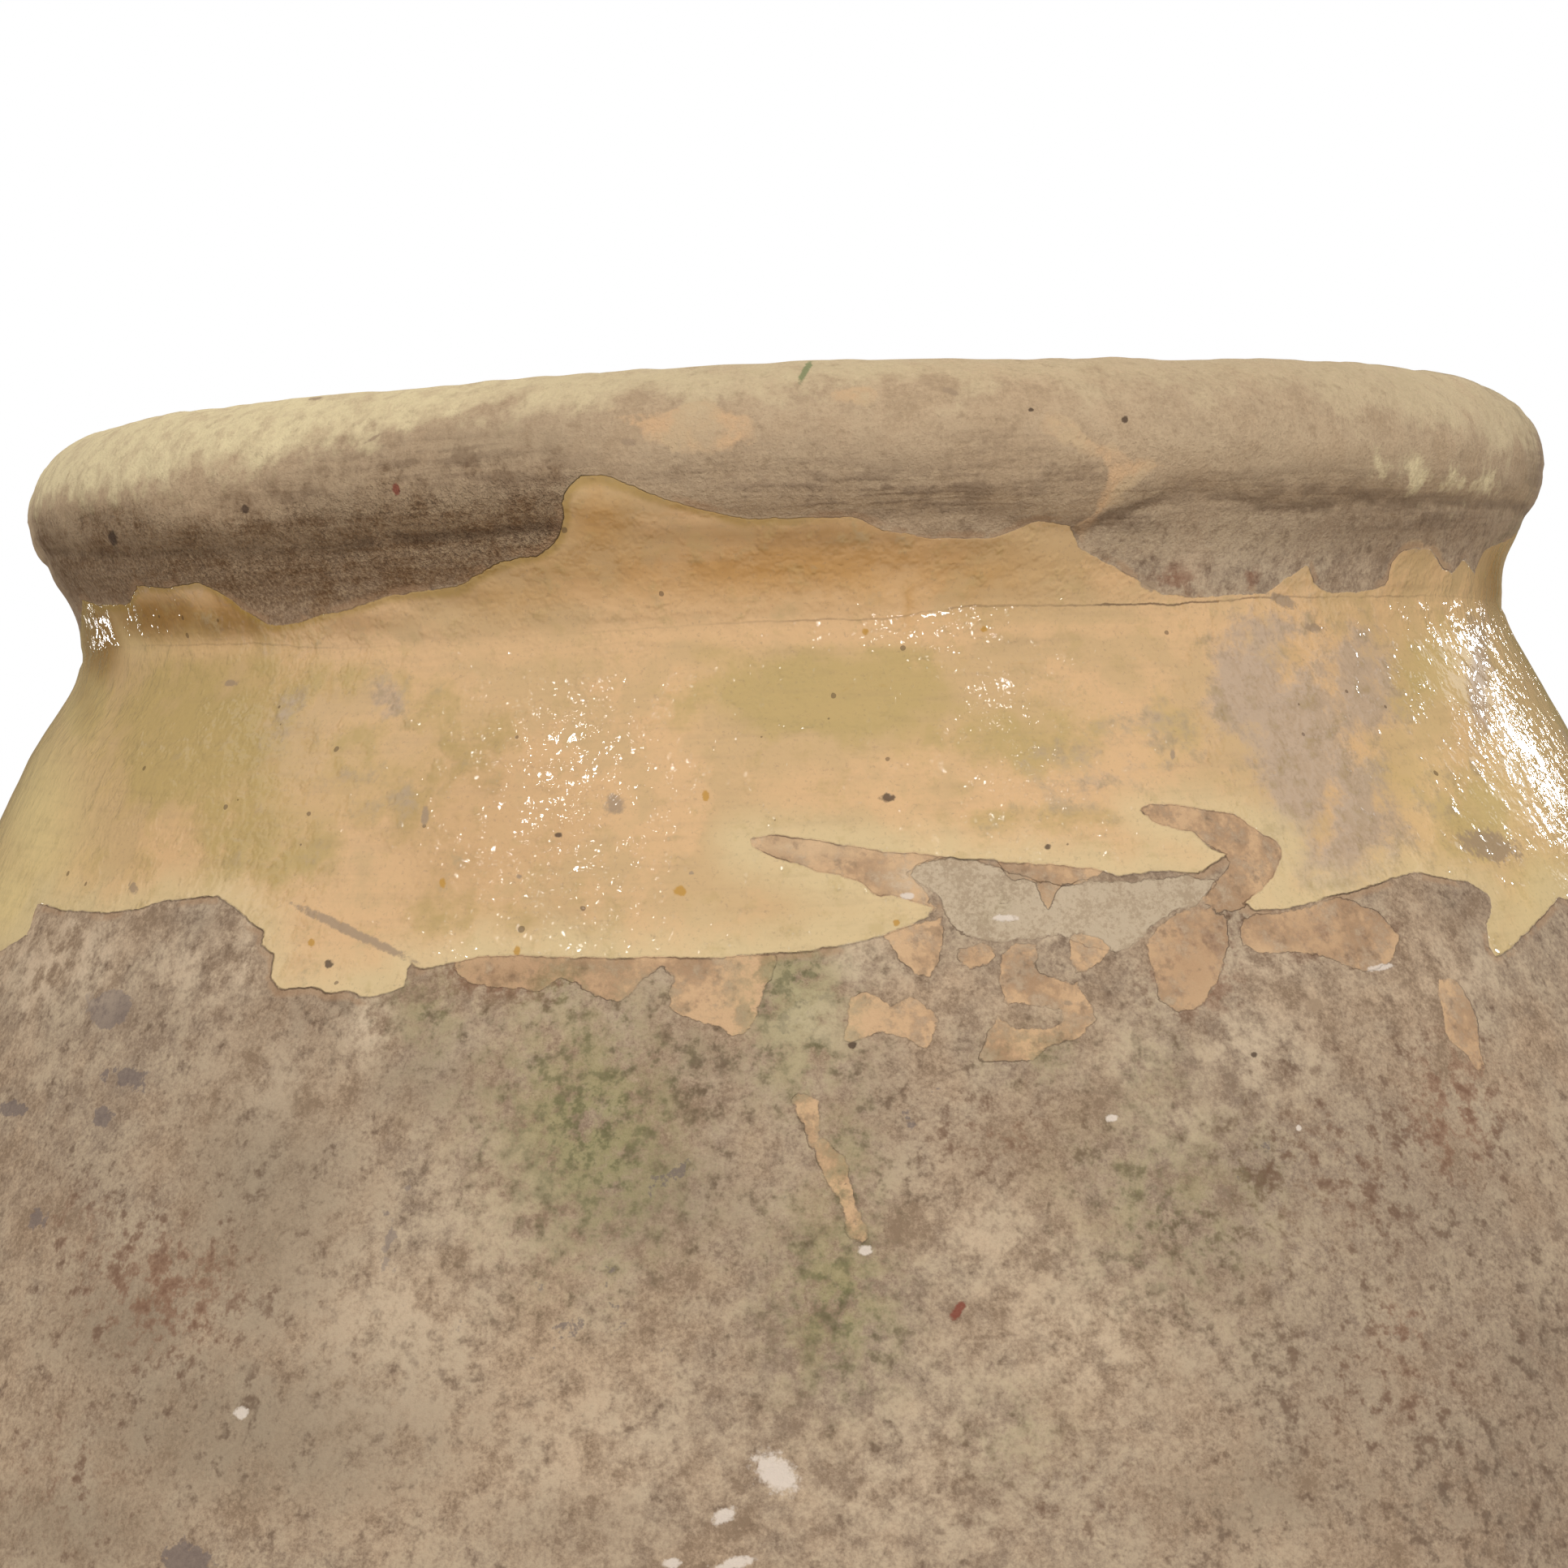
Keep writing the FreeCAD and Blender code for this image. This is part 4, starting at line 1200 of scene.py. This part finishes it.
def glaze_colour(s, where, glaze_edge, mottle, grain, blotch, streak):
    """Honey glaze, paler along its edge, olive and greyed where it lies thick or thin, darkened with
    painted shade under the lip and lightened with painted light at the sides.
    """
    uneven = s.total(s.swing("drift", 0.6), s.swing(blotch, 1.3))
    glaze = s.mix(s.spread(s.total("drift", s.swing(blotch, 0.8)), 0.42, 0.60), GLAZE, GLAZE_PEACH)
    for stain, low, high, most, paint in (("olive", 0.25, 0.65, 0.85, GLAZE_OLIVE),
                                          ("peach", 0.35, 0.75, 0.75, GLAZE_PEACH)):
        part = s.spread(s.total(stain, uneven), low, high)
        glaze = s.mix(s.product(part, most), glaze, paint)
    high_up = s.product(s.spread("path", 0.002, 0.012), s.rest("shown"), 0.7)
    amber = s.product(s.greatest("amber", high_up), s.spread(blotch, 0.30, 0.60, 0.3, 0.9))
    glaze = s.mix(amber, glaze, GLAZE_AMBER)
    # Painted light at the sides, on the pale gold glaze there
    glaze = s.mix(s.product("gold_and_light", 0.8), glaze, GLAZE_GOLD_AND_LIGHT)
    # Painted shade under the lip, and deeper glaze elsewhere
    shade_and_deep_glaze = s.total("shade_and_deep_glaze", s.product(uneven, 0.3))
    glaze = s.mix(s.product(s.spread(shade_and_deep_glaze, 0.1, 0.9), 0.85), glaze, GLAZE_SHADE_AND_DEEP)
    veiled = s.spread(s.total("veil", s.swing(mottle, 1.1), uneven), 0.25, 0.70)
    glaze = s.mix(s.product(veiled, 0.85), glaze, GLAZE_VEIL)
    glaze = s.mix(s.product(veiled, s.spread(mottle, 0.48, 0.70), 0.35), glaze, BROWN_WARM)
    near_edge = s.spread(s.total(glaze_edge, s.product(uneven, 0.010)), 0.012, 0.0)
    glaze = s.mix(s.product(near_edge, s.spread("path", -0.030, -0.045), 0.75), glaze, GLAZE_PALE)
    rim = s.product(s.spread(s.total(glaze_edge, s.product(uneven, 0.002)), 0.0026, 0.0006),
                    s.spread("path", -0.004, 0.006), s.spread("across", 0.03, -0.01))
    glaze = s.mix(s.product(rim, 0.6), glaze, GLAZE_RIM)
    glaze = s.mix(s.spread(s.total(streak, s.product(mottle, 0.6)), 0.76, 1.06, 0.0, 0.12),
                  glaze, BROWN_WARM)
    glaze = s.mix(s.spread(grain, 0.54, 0.80, 0.0, 0.34), glaze, BROWN_WARM)
    glaze = s.mix(s.spread(mottle, 0.52, 0.70, 0.0, 0.30), glaze, GLAZE_OLIVE)
    dot = s.add("ShaderNodeTexVoronoi", {"Vector": where, "Scale": 1 / DOTS_APART}).outputs["Distance"]
    dots = s.math("LESS_THAN", dot, s.spread(blotch, 0.44, 0.62, 0.0, 0.095))
    return s.mix(s.product(dots, 0.6), glaze, CRACK_AND_SHADE)


def cracks_and_shade(s, glaze_edge, edges, wander, unglazed, blotch):
    """Thin dark lines: cracks along the borders, partly painted shadow of the step there, the tool's
    line, and painted shade in the crease under the lip.
    """
    def hairline(edge, off, half, strength, low=0.47, high=0.62):
        near = s.math("ABSOLUTE", s.total(edge, off), 0.0)
        return s.product(s.spread(near, half, half * 0.2), s.spread(blotch, low, high), strength)

    # Lines just outside each border: cracks, and partly painted shadow of the step there
    borders = [hairline(edge, 0.00014, 0.00019, 0.60) for edge in edges]
    crack_and_shade = s.greatest(hairline(glaze_edge, 0.00018, 0.00022, 0.60, 0.49, 0.66), *borders)
    tool = s.total("tool_side", s.product(wander, 0.4))
    seam = s.total("seam_side", s.product(wander, 1.2))
    tool_line = s.product(hairline(tool, 0.0, 0.00034, 0.75, 0.30, 0.50), "tool_strength")
    # Painted shade in the crease under the lip, soft and wide
    crease = s.product(hairline(seam, 0.0, 0.0024, 0.60, 0.25, 0.55), "seam_strength")
    return s.greatest(s.product(crack_and_shade, unglazed), tool_line, s.product(crease, unglazed))


def mark_colour(s, body, crisp, ragged):
    """The small pits, chips and flecks."""
    place = s.add("ShaderNodeCombineXYZ", {0: "mark_across", 1: "mark_upward"}).outputs[0]
    reach = s.total(s.length(place), s.swing(crisp, 1.5), s.swing(ragged, 1.1))
    # Between two marks the stored number isn't whole
    between = s.math("PINGPONG", "mark_number", 0.5)
    mark = s.product(s.spread(reach, 1.30, 0.70, 0.0, 0.85), s.math("LESS_THAN", between, 0.02))
    for kind, paint in (("pit", PIT), ("flake", FLAKE), ("white", WHITE_MARK),
                        ("ochre", OCHRE_MARK), ("red", RED_MARK), ("green", GREEN_MARK)):
        near = s.math("GREATER_THAN", "mark_" + kind, 0.99)
        body = s.mix(s.product(mark, near), body, paint)
    return body


# Floor, light and camera

FLOOR_RADIUS = 3.8
FLOOR_SIDES = 96
FADE_START = 1.2
FADE_END = 3.6
NEAREST_SEEN = 0.01

# The world's light on the jar. The background itself shows white.
WORLD_LIGHT = 0.42

# Lamps: place, size and power, and whether it only glints in the glaze. All point at the neck.
LAMP_AIM = Vector((0, 0, 0.75))
LAMPS = [
    ("key", (-0.2, -2.3, 2.6), 1.0, 37.0),
    ("fill", (1.8, -1.6, 1.9), 1.4, 11.5),
    ("left", (-1.9, -0.4, 2.2), 1.0, 6.0),
    ("right", (2.1, 0.1, 1.9), 1.0, 2.5),
    ("back", (0.4, 2.4, 2.4), 1.8, 22.0),
    ("left_glint", (-0.72, -0.97, 2.06), 0.08, 1.4, True),
    ("right_glint", (0.69, -1.03, 2.03), 0.06, 0.62, True),
    ("neck_glint", (0.49, -1.70, 1.15), 0.16, 5.2, True),
    ("side_glint", (1.33, 0.93, 1.18), 0.12, 1.8, True),
    ("neck_edge_glint", (-1.23, 1.10, 0.71), 0.08, 0.45, True),
    ("side_sheen", (1.37, 0.80, 1.33), 0.30, 0.35, True),
]

# Dark cloths that only the glaze reflects: their radius and height, and where each begins and ends
CLOTH_RADIUS = 1.9
CLOTH_HEIGHT = 2.2
CLOTH_SIDES = 24
CLOTHS = {"left_cloth": (112, 190), "right_cloth": (-10, 68)}


def make_floor_material():
    """Pale plain floor that fades into the white surroundings."""
    s = Shader(bpy.data.materials.new("pale_floor"))
    where = s.place()
    grain = s.noise(where, 0.05)
    paint = s.mix(s.spread(grain, 0.3, 0.7), colour(226, 225, 222), colour(232, 231, 229))
    glow = s.add("ShaderNodeEmission", {"Color": colour(255, 255, 255), "Strength": 1.0})
    fade = s.spread(s.length(where), FADE_START, FADE_END)
    return s.finish(s.add("ShaderNodeMixShader", {
        0: s.product(fade, s.mirrored()), 1: s.matt(paint).outputs[0], 2: glow.outputs[0]}))


def make_floor():
    """A round floor under the jar."""
    points = [(0.0, 0.0, 0.0)]
    for side in range(FLOOR_SIDES):
        angle = 2 * math.pi * side / FLOOR_SIDES
        points.append((FLOOR_RADIUS * math.cos(angle), FLOOR_RADIUS * math.sin(angle), 0.0))
    faces = [(0, side + 1, (side + 1) % FLOOR_SIDES + 1) for side in range(FLOOR_SIDES)]
    floor = add_mesh("floor", points, faces)
    floor.data.materials.append(make_floor_material())


def add_lamp(name, place, size, power, glint=False):
    """A soft square lamp: it lights the jar, or glints in its glaze."""
    lamp = bpy.data.lights.new(name, "AREA")
    lamp.size = size
    lamp.energy = power
    holder = bpy.data.objects.new(name, lamp)
    holder.visible_glossy = glint
    holder.visible_diffuse = not glint
    holder.location = place
    holder.rotation_euler = (LAMP_AIM - Vector(place)).to_track_quat("-Z", "Y").to_euler()
    bpy.context.scene.collection.objects.link(holder)


def light_scene():
    """Even white surroundings, soft lamps round the jar and small ones for its glints."""
    world = bpy.data.worlds.new("surroundings")
    bpy.context.scene.world = world
    s = Shader(world, "ShaderNodeOutputWorld")
    strength = s.spread(s.mirrored(), 0.0, 1.0, WORLD_LIGHT, 1.0)
    s.finish(s.add("ShaderNodeBackground", {"Color": colour(255, 255, 255), "Strength": strength}))
    for lamp in LAMPS:
        add_lamp(*lamp)


def make_cloth(name, start, end):
    """A dark cloth hung beside the jar, as in a studio, to keep its glaze from whitening."""
    angles = np.radians(np.linspace(start, end, CLOTH_SIDES + 1))
    points = [(CLOTH_RADIUS * math.cos(angle), CLOTH_RADIUS * math.sin(angle), height)
              for angle in angles for height in (0.0, CLOTH_HEIGHT)]
    faces = [(2 * side, 2 * side + 1, 2 * side + 3, 2 * side + 2) for side in range(CLOTH_SIDES)]
    cloth = add_mesh(name, points, faces)
    s = Shader(bpy.data.materials.new(name))
    weave = s.noise(s.place(), 0.1, 2.0)
    paint = s.mix(weave, colour(150, 134, 100), colour(172, 154, 118))
    cloth.data.materials.append(s.finish(s.matt(paint)))
    cloth.visible_camera = False
    cloth.visible_diffuse = False
    cloth.visible_transmission = False
    cloth.visible_shadow = False


def make_camera():
    """The camera at the photograph's place, direction and roll."""
    camera = bpy.data.cameras.new("photo_camera")
    camera.lens = SENSOR * FOCAL / FRAME_SIZE
    camera.sensor_width = SENSOR
    camera.sensor_fit = "HORIZONTAL"
    camera.clip_start = NEAREST_SEEN
    holder = bpy.data.objects.new("photo_camera", camera)
    bpy.context.scene.collection.objects.link(holder)
    axes = Matrix((Vector(RIGHT), Vector(UP), Vector(-FORWARD))).transposed()
    holder.matrix_world = Matrix.Translation(Vector(CAMERA_PLACE)) @ axes.to_4x4()
    bpy.context.scene.camera = holder


bpy.context.scene.view_settings.view_transform = "Standard"
round_lines = (round_line(TOOL_LINE_PIXELS, HIDDEN_TOOL_LINE),
               round_line(SEAM_LINE_PIXELS, HIDDEN_SEAM_LINE),
               round_line(CREAM_LINE_PIXELS, HIDDEN_CREAM_LINE))
wall_object, wall_turns, wall_paths = build_wall(round_lines)
paint_wall(wall_object.data, wall_turns, wall_paths, round_lines)
wall_object.data.materials.append(make_earthenware())
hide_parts("jar")
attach(wall_object, "root")

make_camera()
light_scene()
make_floor()
for cloth_name, cloth_span in CLOTHS.items():
    make_cloth(cloth_name, *cloth_span)
